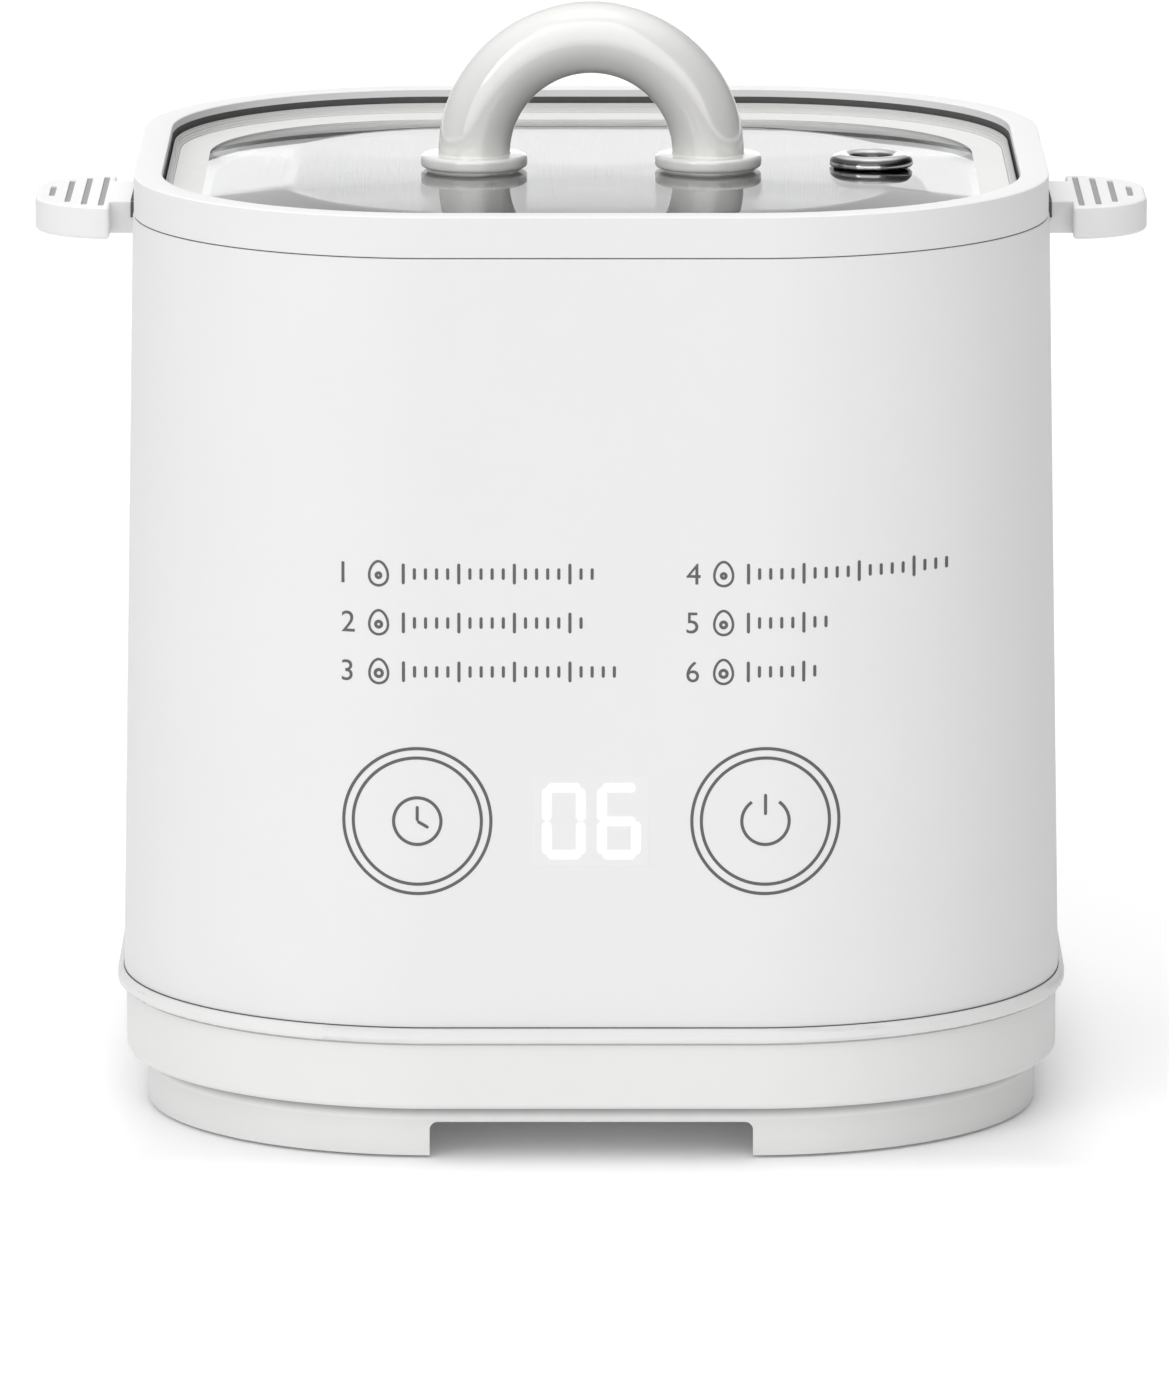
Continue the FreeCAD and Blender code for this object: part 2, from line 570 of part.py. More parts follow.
def build_collar():
    """Ring on top of the housing: a sleeve inside the wall and a ledge that carries the lid."""
    body = new_body("collar_ring")
    slab(body, "sleeve", SLEEVE_HALF, LEDGE_BOTTOM, f"{SEAM} - {LEDGE_BOTTOM}")
    slab(body, "ring", COLLAR_HALF, SEAM, "sizes.collar_height")
    hollow(body, "recess", COLLAR_OPENING, COLLAR_TOP, f"{COLLAR_TOP} - {LEDGE_TOP}")
    feature = hollow(body, "mouth", MOUTH_HALF, LEDGE_TOP, "2 * sizes.ledge_thick")
    edges = plan_edges(feature, COLLAR_HALF, COLLAR_TOP) + plan_edges(feature, COLLAR_OPENING, COLLAR_TOP)
    rounded(body, "soft_top", feature, edges, "sizes.collar_round")
    notches = []
    notch_length = f"sizes.shell_top_half - {NOTCH_INNER}"
    for side, sign in SIDES:
        notches.append(box(f"{side}_notch", notch_length, f"2 * {NOTCH_HALF}", f"{SEAM} - {LEDGE_BOTTOM}",
                           f"{sign} * ({NOTCH_INNER} + sizes.shell_top_half) / 2", "0", LEDGE_BOTTOM))
    node("top_collar", cut("collar_cut", body, notches))


def ear_paddle(body):
    """Plan of an ear's paddle: a straight inner edge, quarter-round shoulders and a straight tip."""
    sketch = new_sketch(body, "paddle_plan", EAR_BOTTOM)
    inner = value(EAR_INNER)
    reach = value("sizes.ear_reach")
    shoulder = "sizes.ear_half - sizes.ear_reach"
    front = sketch.addGeometry(arc_of(inner, -value(shoulder), reach, -90, 0))
    back = sketch.addGeometry(arc_of(inner, value(shoulder), reach, 0, 90))
    tip = sketch.addGeometry(Part.LineSegment(sketch.getPoint(front, 2), sketch.getPoint(back, 1)))
    root = sketch.addGeometry(Part.LineSegment(sketch.getPoint(back, 2), sketch.getPoint(front, 1)))
    sketch.addConstraint(Sketcher.Constraint("Tangent", front, 2, tip, 1))
    sketch.addConstraint(Sketcher.Constraint("Tangent", tip, 2, back, 1))
    sketch.addConstraint(Sketcher.Constraint("Coincident", back, 2, root, 1))
    sketch.addConstraint(Sketcher.Constraint("Coincident", root, 2, front, 1))
    sketch.addConstraint(Sketcher.Constraint("Vertical", root))
    pin_centre(sketch, front, 1, -1, EAR_INNER, shoulder)
    pin_centre(sketch, back, 1, 1, EAR_INNER, shoulder)
    bind(sketch, "Radius", (front,), "sizes.ear_reach")
    sketch.addConstraint(Sketcher.Constraint("Equal", front, back))
    bind(sketch, "DistanceX", (-1, 1, root, 1), EAR_INNER)
    return sketch


def ear_grooves(body):
    """Four grooves across the paddle that grow shorter towards its tip."""
    sketch = new_sketch(body, "groove_plan", f"{EAR_BOTTOM} + sizes.ear_height")
    span = "(sizes.slot_first + 3 * sizes.slot_pitch + sizes.slot_margin)"
    for number in range(4):
        offset = f"(sizes.slot_first + {number} * sizes.slot_pitch)"
        x = f"{EAR_INNER} + {offset}"
        reach = f"sizes.slot_reach * sqrt(1 - ({offset} / {span})^2) - sizes.slot_half_width"
        arcs = []
        for side_y, start in ((1, 0), (-1, 180)):
            arcs.append(sketch.addGeometry(
                arc_of(value(x), side_y * value(reach), value("sizes.slot_half_width"), start, start + 180)))
        close_with_lines(sketch, arcs)
        pin_centre(sketch, arcs[0], 1, 1, x, reach)
        pin_centre(sketch, arcs[1], 1, -1, x, reach)
        bind(sketch, "Radius", (arcs[0],), "sizes.slot_half_width")
        sketch.addConstraint(Sketcher.Constraint("Equal", arcs[0], arcs[1]))
    return sketch


def paddle_edges(feature):
    """Names of the edges round the paddle's top and bottom and up its inner corners."""
    wanted = []
    for index, edge in enumerate(feature.Shape.Edges, start=1):
        point = middle_of(edge)
        upright = abs(point.z - value(EAR_MIDDLE)) < TOLERANCE
        at_inner_corner = abs(point.x - value(EAR_INNER)) < TOLERANCE
        if at_inner_corner or not upright:
            wanted.append(f"Edge{index}")
    return wanted


def build_ears():
    """Two carrying ears, each held by a plate and two screws from inside the housing."""
    plates = []
    screws = []
    for side, sign in SIDES:
        body = new_body(f"{side}_paddle")
        solid = pad(body, "paddle", ear_paddle(body), "sizes.ear_height")
        rounded(body, "soft_paddle", solid, paddle_edges(solid), "sizes.ear_round")
        pocket(body, "grooves", ear_grooves(body), "sizes.slot_depth")
        if sign < 0:
            half_turn = FreeCAD.Rotation(FreeCAD.Vector(0, 0, 1), 180)
            body.Placement = FreeCAD.Placement(FreeCAD.Vector(), half_turn)
        neck_length = f"{EAR_INNER} + sizes.slot_first - sizes.slot_half_width - {NECK_INNER}"
        neck = box(f"{side}_neck", neck_length, "2 * sizes.neck_half", "sizes.ear_height",
                   f"{sign} * ({NECK_INNER} + ({neck_length}) / 2)", "0", EAR_BOTTOM)
        holes = []
        plate_holes = []
        outwards = "right" if sign > 0 else "left"
        plate_face = f"{sign} * {EAR_PLATE_FACE}"
        head_seat = f"{sign} * {EAR_HEAD_SEAT}"
        for y in ("sizes.ear_screw_spread", "-sizes.ear_screw_spread"):
            for tools in (holes, plate_holes):
                tools.append(rod(f"{side}_screw_hole", "sizes.ear_screw_radius + sizes.fit_clear",
                                 "sizes.ear_screw_length + sizes.fit_clear",
                                 head_seat, y, EAR_MIDDLE, outwards))
            plate_holes.append(rod(f"{side}_head_seat", "sizes.ear_head_radius + sizes.fit_clear",
                                   "sizes.ear_head_height", plate_face, y, EAR_MIDDLE, outwards))
            screws.append(screw(f"{side}_ear_screw", "sizes.ear_screw_radius", "sizes.ear_screw_length",
                                "sizes.ear_head_radius", "sizes.ear_head_height",
                                head_seat, y, EAR_MIDDLE, outwards))
        node(f"{side}_ear", cut(f"{side}_ear_cut", fuse(f"{side}_ear_whole", [body, neck]), holes))
        plate = box(f"{side}_plate", "sizes.ear_plate_thick", "2 * sizes.ear_plate_half",
                    "sizes.ear_plate_height", f"{sign} * ({EAR_PLATE_FACE} + sizes.ear_plate_thick / 2)", "0",
                    f"{EAR_MIDDLE} - sizes.ear_plate_height / 2")
        plates.append(cut(f"{side}_plate_cut", plate, plate_holes))
    group("ear_plates", plates)
    group("ear_screws", screws)


def build_base_band():
    """Band under the housing: a rounded lip, a spigot inside the housing and a screw flange."""
    body = new_body("band_ring")
    slab(body, "band", BAND_HALF, BAND_BOTTOM, "sizes.band_height")
    slab(body, "lip", LIP_HALF, LIP_BOTTOM, "sizes.lip_height")
    slab(body, "spigot", SPIGOT_HALF, BASE_LINE, "sizes.spigot_height")
    spigot_top = f"{BASE_LINE} + sizes.spigot_height"
    flange_top = f"{BAND_BOTTOM} + sizes.band_flange_thick"
    hollow(body, "inside", SPIGOT_INNER, spigot_top, f"{spigot_top} - {flange_top}")
    feature = hollow(body, "opening", BAND_FLANGE_HALF, flange_top, "2 * sizes.band_flange_thick")
    edges = plan_edges(feature, LIP_HALF, LIP_BOTTOM) + plan_edges(feature, LIP_HALF, BASE_LINE)
    feature = rounded(body, "soft_lip", feature, edges, "sizes.lip_round")
    rounded(body, "soft_band", feature, plan_edges(feature, BAND_HALF, BAND_BOTTOM), "sizes.band_round")
    bosses = []
    holes = []
    for x, y, corner in corners(FOOT_SPREAD):
        bosses.append(rod(f"band_boss_{corner}", "sizes.boss_radius", f"{DECK_BOTTOM} - {BAND_BOTTOM}",
                          x, y, BAND_BOTTOM))
        holes.append(rod(f"band_hole_{corner}", "sizes.base_screw_radius + sizes.fit_clear",
                         f"{DECK_BOTTOM} - {BAND_BOTTOM}", x, y, BAND_BOTTOM))
    node("base_band", cut("band_cut", fuse("band_with_bosses", [body] + bosses), holes))


def skirt_cutout(name, sign):
    """Low opening through the front or back of the skirt, with rounded upper corners."""
    depth = "4 * sizes.skirt_wall"
    y = f"{sign} * {SKIRT_HALF}"
    low_height = "sizes.skirt_cut_height - sizes.skirt_cut_round"
    low = box(f"{name}_low", "2 * sizes.skirt_cut_half", depth, low_height, "0", y, "sizes.foot_proud")
    high = box(f"{name}_high", "2 * (sizes.skirt_cut_half - sizes.skirt_cut_round)", depth,
               "sizes.skirt_cut_height", "0", y, "sizes.foot_proud")
    pieces = [low, high]
    for side, side_sign in SIDES:
        pieces.append(rod(f"{name}_{side}_corner", "sizes.skirt_cut_round", depth,
                          f"{side_sign} * (sizes.skirt_cut_half - sizes.skirt_cut_round)",
                          f"{y} - 2 * sizes.skirt_wall", f"sizes.foot_proud + {low_height}", "back"))
    return fuse(name, pieces)


def build_bottom_cover():
    """Bottom plate with the skirt that the cooker stands on and a pillar over each rubber foot."""
    body = new_body("cover_plate")
    slab(body, "block", SKIRT_HALF, "sizes.foot_proud", "sizes.skirt_height")
    hollow(body, "underside", SKIRT_INNER, PLATE_BOTTOM, "sizes.skirt_height")
    pillars = []
    holes = [skirt_cutout("front_cutout", -1), skirt_cutout("back_cutout", 1)]
    feet = []
    screws = []
    seat_top = "sizes.foot_thick"
    head_top = f"({PLATE_BOTTOM} - sizes.cover_thick / 2)"
    for x, y, corner in corners(FOOT_SPREAD):
        pillars.append(rod(f"pillar_{corner}", "sizes.pillar_radius", f"{BAND_BOTTOM} - sizes.foot_proud",
                           x, y, "sizes.foot_proud"))
        holes.append(rod(f"foot_seat_{corner}", "sizes.foot_radius + sizes.foot_clear", seat_top, x, y, "0"))
        holes.append(rod(f"head_bore_{corner}", "sizes.base_head_bore", head_top, x, y, "0"))
        holes.append(rod(f"shank_bore_{corner}", "sizes.base_screw_radius + sizes.foot_clear", BAND_BOTTOM,
                         x, y, "0"))
        feet.append(rod(f"foot_{corner}", "sizes.foot_radius", "sizes.foot_thick", x, y, "0"))
        screws.append(screw(f"base_screw_{corner}", "sizes.base_screw_radius", "sizes.base_screw_length",
                            "sizes.base_head_radius", "sizes.base_head_height", x, y, head_top, "up"))
    node("bottom_cover", cut("cover_cut", fuse("cover_with_pillars", [body] + pillars), holes))
    group("rubber_feet", feet)
    group("base_screws", screws)


def build_chamber():
    """Steam chamber under the collar: a wall with a welded flange and its seal, on the boiling plate."""
    wall = new_body("chamber_tube")
    slab(wall, "tube", CHAMBER_HALF, CHAMBER_FLOOR, f"{FLANGE_TOP} - {CHAMBER_FLOOR}")
    hollow(wall, "bore", CHAMBER_INNER, FLANGE_TOP, f"{FLANGE_TOP} - {CHAMBER_FLOOR}")
    node("chamber_wall", wall)
    flange = new_body("flange_ring")
    slab(flange, "flange", CHAMBER_FLANGE_HALF, f"{FLANGE_TOP} - sizes.chamber_wall", "sizes.chamber_wall")
    hollow(flange, "flange_opening", CHAMBER_HALF, FLANGE_TOP, "2 * sizes.chamber_wall")
    node("chamber_flange", flange)
    plate = new_body("boiling_sheet")
    slab(plate, "floor", BOILING_HALF, HEATER_TOP, "sizes.chamber_wall")
    node("boiling_plate", plate)
    seal = new_body("seal_ring")
    slab(seal, "seal", SEAL_HALF, FLANGE_TOP, "sizes.seal_thick")
    hollow(seal, "seal_opening", f"{SEAL_HALF} - sizes.seal_width", LEDGE_BOTTOM, "2 * sizes.seal_thick")
    node("chamber_seal", seal)


def build_heater():
    """Heat shield on the base bosses, and the heating plate with its element, sensor and fuse."""
    deck = new_body("deck_sheet")
    slab(deck, "deck", DECK_HALF, DECK_BOTTOM, "sizes.deck_thick")
    holes = [rod("deck_opening", "sizes.deck_hole", "3 * sizes.deck_thick", "0", "0",
                 f"{DECK_BOTTOM} - sizes.deck_thick")]
    screws = []
    for x, y, corner in corners(FOOT_SPREAD):
        holes.append(rod(f"deck_hole_{corner}", "sizes.deck_screw_radius + sizes.foot_clear",
                         "3 * sizes.deck_thick", x, y, f"{DECK_BOTTOM} - sizes.deck_thick"))
        shank = rod(f"deck_screw_shank_{corner}", "sizes.deck_screw_radius",
                    "sizes.deck_screw_length + sizes.deck_thick", x, y,
                    f"{DECK_BOTTOM} - sizes.deck_screw_length")
        head = rod(f"deck_screw_head_{corner}", "sizes.deck_head_radius", "sizes.deck_head_height",
                   x, y, DECK_TOP)
        screws.append(fuse(f"deck_screw_{corner}", [shank, head]))
    node("heat_shield", cut("deck_cut", deck, holes))
    group("deck_screws", screws)
    posts = [rod(f"heater_post_{corner}", "sizes.heater_post_radius", "sizes.heater_post_height",
                 x, y, DECK_TOP) for x, y, corner in corners("sizes.heater_post_spread")]
    group("heater_posts", posts)
    plate = new_body("plate_disc")
    sketch = rings(plate, "plate_plan", HEATER_BOTTOM,
                   ("sizes.heating_plate_radius", "sizes.heating_plate_hole"))
    disc = pad(plate, "disc", sketch, "sizes.heating_plate_thick")
    rounded(plate, "soft_disc", disc, flat_edges(disc, HEATER_BOTTOM, "sizes.heating_plate_radius"),
            "sizes.heating_plate_round")
    node("heating_plate", plate)
    element = doc.addObject("Part::Torus", "element_ring")
    element.setExpression("Radius1", "sizes.element_ring")
    element.setExpression("Radius2", "sizes.element_tube")
    element.setExpression("Angle3", "sizes.element_sweep")
    place(element, "0", "0", f"{HEATER_BOTTOM} - sizes.element_tube")
    node("heating_element", element)
    cap = rod("sensor_cap", "sizes.sensor_radius", "sizes.sensor_cap_height", "0", "0",
              f"{HEATER_TOP} - sizes.sensor_cap_height")
    stem = rod("sensor_stem", "sizes.sensor_stem", f"{HEATER_TOP} - {DECK_TOP}", "0", "0", DECK_TOP)
    node("thermistor", fuse("sensor", [cap, stem]))
    fuse_link = rod("fuse_link", "sizes.fuse_radius", "sizes.fuse_length", "-sizes.fuse_length / 2",
                    "sizes.fuse_y", f"{HEATER_BOTTOM} - sizes.fuse_radius", "right")
    node("thermal_fuse", fuse_link)


def build_power_board():
    """Power board on posts in the base, with its tall parts."""
    board = box("power_sheet", "sizes.power_board_length", "sizes.power_board_width", "sizes.board_thick",
                "0", "0", BOARD_BOTTOM)
    node("power_board", board)
    posts = []
    post_x = "(sizes.power_board_length / 2 - sizes.board_post_margin)"
    post_y = "(sizes.power_board_width / 2 - sizes.board_post_margin)"
    for side_x, side_y in QUARTERS:
        posts.append(rod("board_post", "sizes.board_post_radius", "sizes.board_post_height",
                         f"{side_x} * {post_x}", f"{side_y} * {post_y}", BAND_BOTTOM))
    group("board_posts", posts)
    node("relay", box("relay_case", "sizes.relay_length", "sizes.relay_width", "sizes.relay_height",
                      f"-{PART_SPREAD}", "0", BOARD_TOP))
    node("transformer", box("transformer_block", "sizes.transformer_length", "sizes.transformer_width",
                            "sizes.transformer_height", PART_SPREAD, "0", BOARD_TOP))
    node("filter_capacitor", rod("capacitor_can", "sizes.capacitor_radius", "sizes.capacitor_height",
                                 "0", f"{PART_SPREAD} / 2", BOARD_TOP))


def build_control_board():
    """Control board behind the front wall, with the display and a foam pad behind each touch key."""
    board = box("control_sheet", f"2 * {BOARD_HALF}", "sizes.board_thick", BOARD_HEIGHT, "0",
                f"-({BOARD_FRONT} - sizes.board_thick / 2)", f"{DISPLAY_Z} - {BOARD_HEIGHT} / 2")
    holes = []
    screws = []
    back_face = f"-({BOARD_FRONT} - sizes.board_thick)"
    for side_x, side_z in QUARTERS:
        x = f"{side_x} * sizes.board_boss_x"
        z = f"{DISPLAY_Z} + {side_z} * sizes.board_boss_z"
        holes.append(rod("board_hole", "sizes.board_screw_radius + sizes.foot_clear", "2 * sizes.board_thick",
                         x, back_face, z, "front"))
        shank = rod("board_screw_shank", "sizes.board_screw_radius", "sizes.board_screw_length",
                    x, back_face, z, "front")
        head = rod("board_screw_head", "sizes.board_head_radius", "sizes.board_head_height",
                   x, back_face, z, "back")
        screws.append(fuse("board_screw", [shank, head]))
    node("control_board", cut("control_cut", board, holes))
    group("control_screws", screws)
    node("display_module", box("display_block", "2 * sizes.display_half", "sizes.display_depth",
                               "sizes.display_height", "0", f"-({BOARD_FRONT} + sizes.display_depth / 2)",
                               f"{DISPLAY_Z} - sizes.display_height / 2"))
    pads = [rod(f"{side}_key_pad", "sizes.key_pad_radius", "sizes.key_pad_depth", f"{sign} * sizes.key_x",
                f"-{BOARD_FRONT}", DISPLAY_Z, "front") for side, sign in SIDES]
    group("key_pads", pads)


def build_inlet():
    """Two-pin mains inlet in the back wall, held by lugs behind the wall."""
    case = box("inlet_case", "2 * sizes.inlet_half", "sizes.inlet_depth", "sizes.inlet_height", "0",
               f"{INLET_FACE} - sizes.inlet_depth / 2", INLET_BOTTOM)
    lug = box("inlet_lugs", "2 * (sizes.inlet_half + sizes.inlet_lug)", "sizes.inlet_lug_thick",
              "sizes.inlet_height", "0", f"{INLET_LUG_FACE} - sizes.inlet_lug_thick / 2", INLET_BOTTOM)
    round_x = "(sizes.socket_half - sizes.socket_height / 2)"
    socket_back = f"{INLET_FACE} - sizes.socket_depth"
    socket = [box("socket_middle", f"2 * {round_x}", "sizes.socket_depth", "sizes.socket_height", "0",
                  f"{INLET_FACE} - sizes.socket_depth / 2", f"{INLET_Z} - sizes.socket_height / 2")]
    holes = []
    pins = []
    for side, sign in SIDES:
        socket.append(rod(f"{side}_socket_end", "sizes.socket_height / 2", "sizes.socket_depth",
                          f"{sign} * {round_x}", socket_back, INLET_Z, "back"))
        back_wall = "sizes.inlet_depth - sizes.socket_depth"
        pin_x = f"{sign} * sizes.pin_spread"
        holes.append(rod(f"{side}_pin_hole", "sizes.pin_radius + sizes.fit_clear", "sizes.inlet_depth",
                         pin_x, INLET_BACK, INLET_Z, "back"))
        pins.append(rod(f"{side}_pin", "sizes.pin_radius", f"sizes.pin_length + {back_wall}",
                        pin_x, INLET_BACK, INLET_Z, "back"))
    node("power_inlet", cut("inlet_cut", fuse("inlet_whole", [case, lug]), [fuse("socket", socket)] + holes))
    group("inlet_pins", pins)


def build_lid():
    """Glass in a steel rim, with an arched handle on two collars and a steam vent."""
    glass_body = new_body("glass_pane")
    pane = slab(glass_body, "pane", GLASS_HALF, GLASS_BOTTOM, "sizes.glass_thick")
    rounded(glass_body, "soft_pane", pane, plan_edges(pane, GLASS_HALF, GLASS_TOP), "sizes.glass_round")
    below = f"{GLASS_BOTTOM} - sizes.glass_thick"
    through = "3 * sizes.glass_thick"
    holes = [rod("vent_hole", "sizes.vent_hole", through, "sizes.vent_x", "sizes.vent_y", below)]
    for side, sign in SIDES:
        holes.append(rod(f"{side}_glass_hole", "sizes.handle_hole_radius", through,
                         f"{sign} * sizes.handle_radius", "0", below))
    node("lid_glass", cut("glass_cut", glass_body, holes))

    rim = new_body("rim_ring")
    slab(rim, "rim", RIM_HALF, RIM_BOTTOM, f"{RIM_TOP} - {RIM_BOTTOM}")
    inside = f"{RIM_HALF} - sizes.rim_wall"
    hollow(rim, "rim_recess", inside, RIM_TOP, f"{RIM_TOP} - {GLASS_BOTTOM}")
    feature = hollow(rim, "rim_opening", f"{RIM_HALF} - sizes.rim_flange", GLASS_BOTTOM,
                     "2 * sizes.rim_flange_thick")
    edges = plan_edges(feature, RIM_HALF, RIM_TOP) + plan_edges(feature, inside, RIM_TOP)
    rounded(rim, "soft_rim", feature, edges, "sizes.rim_round")
    node("lid_rim", rim)

    arch = doc.addObject("Part::Torus", "handle_arch")
    arch.setExpression("Radius1", "sizes.handle_radius")
    arch.setExpression("Radius2", "sizes.handle_tube")
    arch.Angle3 = 180
    arch.Placement = FreeCAD.Placement(FreeCAD.Vector(), AXES["front"])
    place(arch, "0", "0", HANDLE_FOOT)
    bores = []
    screws = []
    washers = []
    washer_bottom = f"({GLASS_BOTTOM} - sizes.washer_thick)"
    screw_length = (f"{HANDLE_FOOT} - {washer_bottom} + sizes.handle_bore_depth"
                    " - sizes.handle_screw_radius")
    for side, sign in SIDES:
        x = f"{sign} * sizes.handle_radius"
        bores.append(rod(f"{side}_bore", "sizes.handle_screw_radius + sizes.fit_clear",
                         "sizes.handle_bore_depth", x, "0", HANDLE_FOOT))
        collar = new_body(f"{side}_foot")
        sketch = rings(collar, "foot_plan", GLASS_TOP,
                       ("sizes.foot_collar_radius", "sizes.handle_hole_radius"))
        disc = pad(collar, "foot", sketch, "sizes.foot_collar_height")
        rounded(collar, "soft_foot", disc, flat_edges(disc, HANDLE_FOOT, "sizes.foot_collar_radius"),
                "sizes.foot_collar_round")
        place(collar, x, "0", "0")
        node(f"{side}_collar", collar)
        washer = rod(f"{side}_washer", "sizes.washer_radius", "sizes.washer_thick", x, "0", washer_bottom)
        washer_hole = rod(f"{side}_washer_hole", "sizes.handle_hole_radius", "3 * sizes.washer_thick", x, "0",
                          f"{washer_bottom} - sizes.washer_thick")
        washers.append(cut(f"{side}_washer_cut", washer, [washer_hole]))
        screws.append(screw(f"{side}_handle_screw", "sizes.handle_screw_radius", screw_length,
                            "sizes.handle_head_radius", "sizes.handle_head_height",
                            x, "0", washer_bottom, "up"))
    node("lid_handle", cut("handle_cut", arch, bores))
    group("handle_screws", screws)
    group("handle_washers", washers)
    build_vent()


def build_vent():
    """Polished vent ring on the glass, with a barrel through it and a nut below."""
    ring = new_body("vent_ring")
    sketch = rings(ring, "ring_plan", GLASS_TOP, ("sizes.vent_radius", "sizes.vent_bore"))
    feature = pad(ring, "ring", sketch, "sizes.vent_height")
    top = f"{GLASS_TOP} + sizes.vent_height"
    edges = flat_edges(feature, top, "sizes.vent_radius") + flat_edges(feature, top, "sizes.vent_bore")
    edges += flat_edges(feature, GLASS_TOP, "sizes.vent_radius")
    rounded(ring, "soft_ring", feature, edges, "sizes.vent_round")
    place(ring, "sizes.vent_x", "sizes.vent_y", "0")
    nut_bottom = f"({GLASS_BOTTOM} - sizes.vent_nut_height)"
    barrel = rod("vent_barrel", "sizes.vent_barrel", f"{GLASS_TOP} - {nut_bottom}",
                 "sizes.vent_x", "sizes.vent_y", nut_bottom)
    bore = rod("vent_bore", "sizes.vent_bore", "6 * sizes.vent_height", "sizes.vent_x", "sizes.vent_y",
               f"{nut_bottom} - sizes.vent_height")
    node("vent_eyelet", cut("vent_cut", fuse("vent_whole", [ring, barrel]), [bore]))
    nut = rod("vent_nut_disc", "sizes.vent_nut_radius", "sizes.vent_nut_height",
              "sizes.vent_x", "sizes.vent_y", nut_bottom)
    nut_hole = rod("vent_nut_hole", "sizes.vent_barrel + sizes.fit_clear", "3 * sizes.vent_nut_height",
                   "sizes.vent_x", "sizes.vent_y", f"{nut_bottom} - sizes.vent_nut_height")
    node("vent_nut", cut("vent_nut_cut", nut, [nut_hole]))


def build_tray():
    """Egg tray on four legs with eight seats, lifted by a knob on a middle post."""
    body = new_body("tray_sheet")
    feature = slab(body, "sheet", TRAY_HALF, TRAY_BOTTOM, "sizes.tray_thick")
    rounded(body, "soft_sheet", feature, plan_edges(feature, TRAY_HALF, TRAY_TOP), "sizes.tray_round")
    seats = []
    for column in (-1, 0, 1):
        for row in (-1, 0, 1):
            if column == 0 and row == 0:
                continue
            x = f"{column} * {SEAT_PITCH}"
            y = f"{row} * {SEAT_PITCH}"
            seats.append(rod("seat", "sizes.seat_radius", "2 * sizes.seat_depth", x, y,
                             f"{TRAY_TOP} - sizes.seat_depth"))
            for side_x, side_y in ((0, 0),) + QUARTERS:
                seats.append(rod("steam_hole", "sizes.steam_hole", "3 * sizes.tray_thick",
                                 f"{x} + {side_x} * sizes.steam_ring * {DIAGONAL}",
                                 f"{y} + {side_y} * sizes.steam_ring * {DIAGONAL}",
                                 f"{TRAY_BOTTOM} - sizes.tray_thick"))
    node("egg_tray", cut("tray_cut", body, seats))
    legs = [rod(f"leg_{corner}", "sizes.tray_leg_radius", "sizes.tray_leg_height", x, y, TRAY_FOOT)
            for x, y, corner in corners(LEG_SPREAD)]
    group("tray_legs", legs)
    node("tray_post", rod("lift_post", "sizes.post_radius", "sizes.post_height", "0", "0", TRAY_TOP))
    knob = new_body("knob_body")
    sketch = rings(knob, "knob_plan", POST_TOP, ("sizes.knob_radius",))
    disc = pad(knob, "knob", sketch, "sizes.knob_height")
    edges = flat_edges(disc, POST_TOP, "sizes.knob_radius")
    edges += flat_edges(disc, f"{POST_TOP} + sizes.knob_height", "sizes.knob_radius")
    rounded(knob, "soft_knob", disc, edges, "sizes.knob_round")
    node("tray_knob", knob)


def check_and_export():
    """Stop at any broken feature, then write one file for each named sub-part."""
    doc.recompute()
    for part in doc.Objects:
        if "Invalid" in part.State or "Error" in part.State:
            raise RuntimeError(f"{part.Label} is broken: {part.State}")
    os.makedirs("parts", exist_ok=True)
    for part in nodes:
        if not part.Shape.isValid() or part.Shape.Volume <= 0:
            raise RuntimeError(f"{part.Label} has no valid solid")
        part.Shape.exportStep(f"parts/{part.Label}.step")


fill_sheet()
build_shell()
build_collar()
build_ears()
build_base_band()
build_bottom_cover()
build_chamber()
build_heater()
build_power_board()
build_control_board()
build_inlet()
build_lid()
build_tray()
check_and_export()
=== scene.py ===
"""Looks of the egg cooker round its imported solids: finishes, printed front, lid, ears and studio."""
import logging
import math
from dataclasses import dataclass
from enum import Enum
from functools import reduce
from typing import Callable

import bpy
import numpy as np
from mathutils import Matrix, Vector


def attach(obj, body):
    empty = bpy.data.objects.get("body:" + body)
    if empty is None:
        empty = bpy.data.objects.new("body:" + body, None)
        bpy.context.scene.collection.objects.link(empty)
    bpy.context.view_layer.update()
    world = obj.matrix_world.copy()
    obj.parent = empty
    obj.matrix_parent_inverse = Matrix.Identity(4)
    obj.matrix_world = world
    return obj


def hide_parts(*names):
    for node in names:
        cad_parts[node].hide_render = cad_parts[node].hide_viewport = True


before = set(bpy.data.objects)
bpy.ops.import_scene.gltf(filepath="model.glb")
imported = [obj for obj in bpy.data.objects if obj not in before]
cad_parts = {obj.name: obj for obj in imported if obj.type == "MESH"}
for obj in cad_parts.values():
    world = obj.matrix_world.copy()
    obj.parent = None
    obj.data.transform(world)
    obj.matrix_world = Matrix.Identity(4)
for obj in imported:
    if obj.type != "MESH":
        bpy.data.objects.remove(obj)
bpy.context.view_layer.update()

Array = np.ndarray
Node = bpy.types.Node
Socket = bpy.types.NodeSocket
Term = Socket | float
Pair = tuple[float, float]
Triple = tuple[float, float, float]
Inputs = dict[str | int, Term | tuple[float, ...]]
LOG = logging.getLogger("egg_cooker")
MM = 0.001


class Body(Enum):
    """The bodies that the pieces made here ride on."""

    HOUSING = "housing"
    LID = "lid"


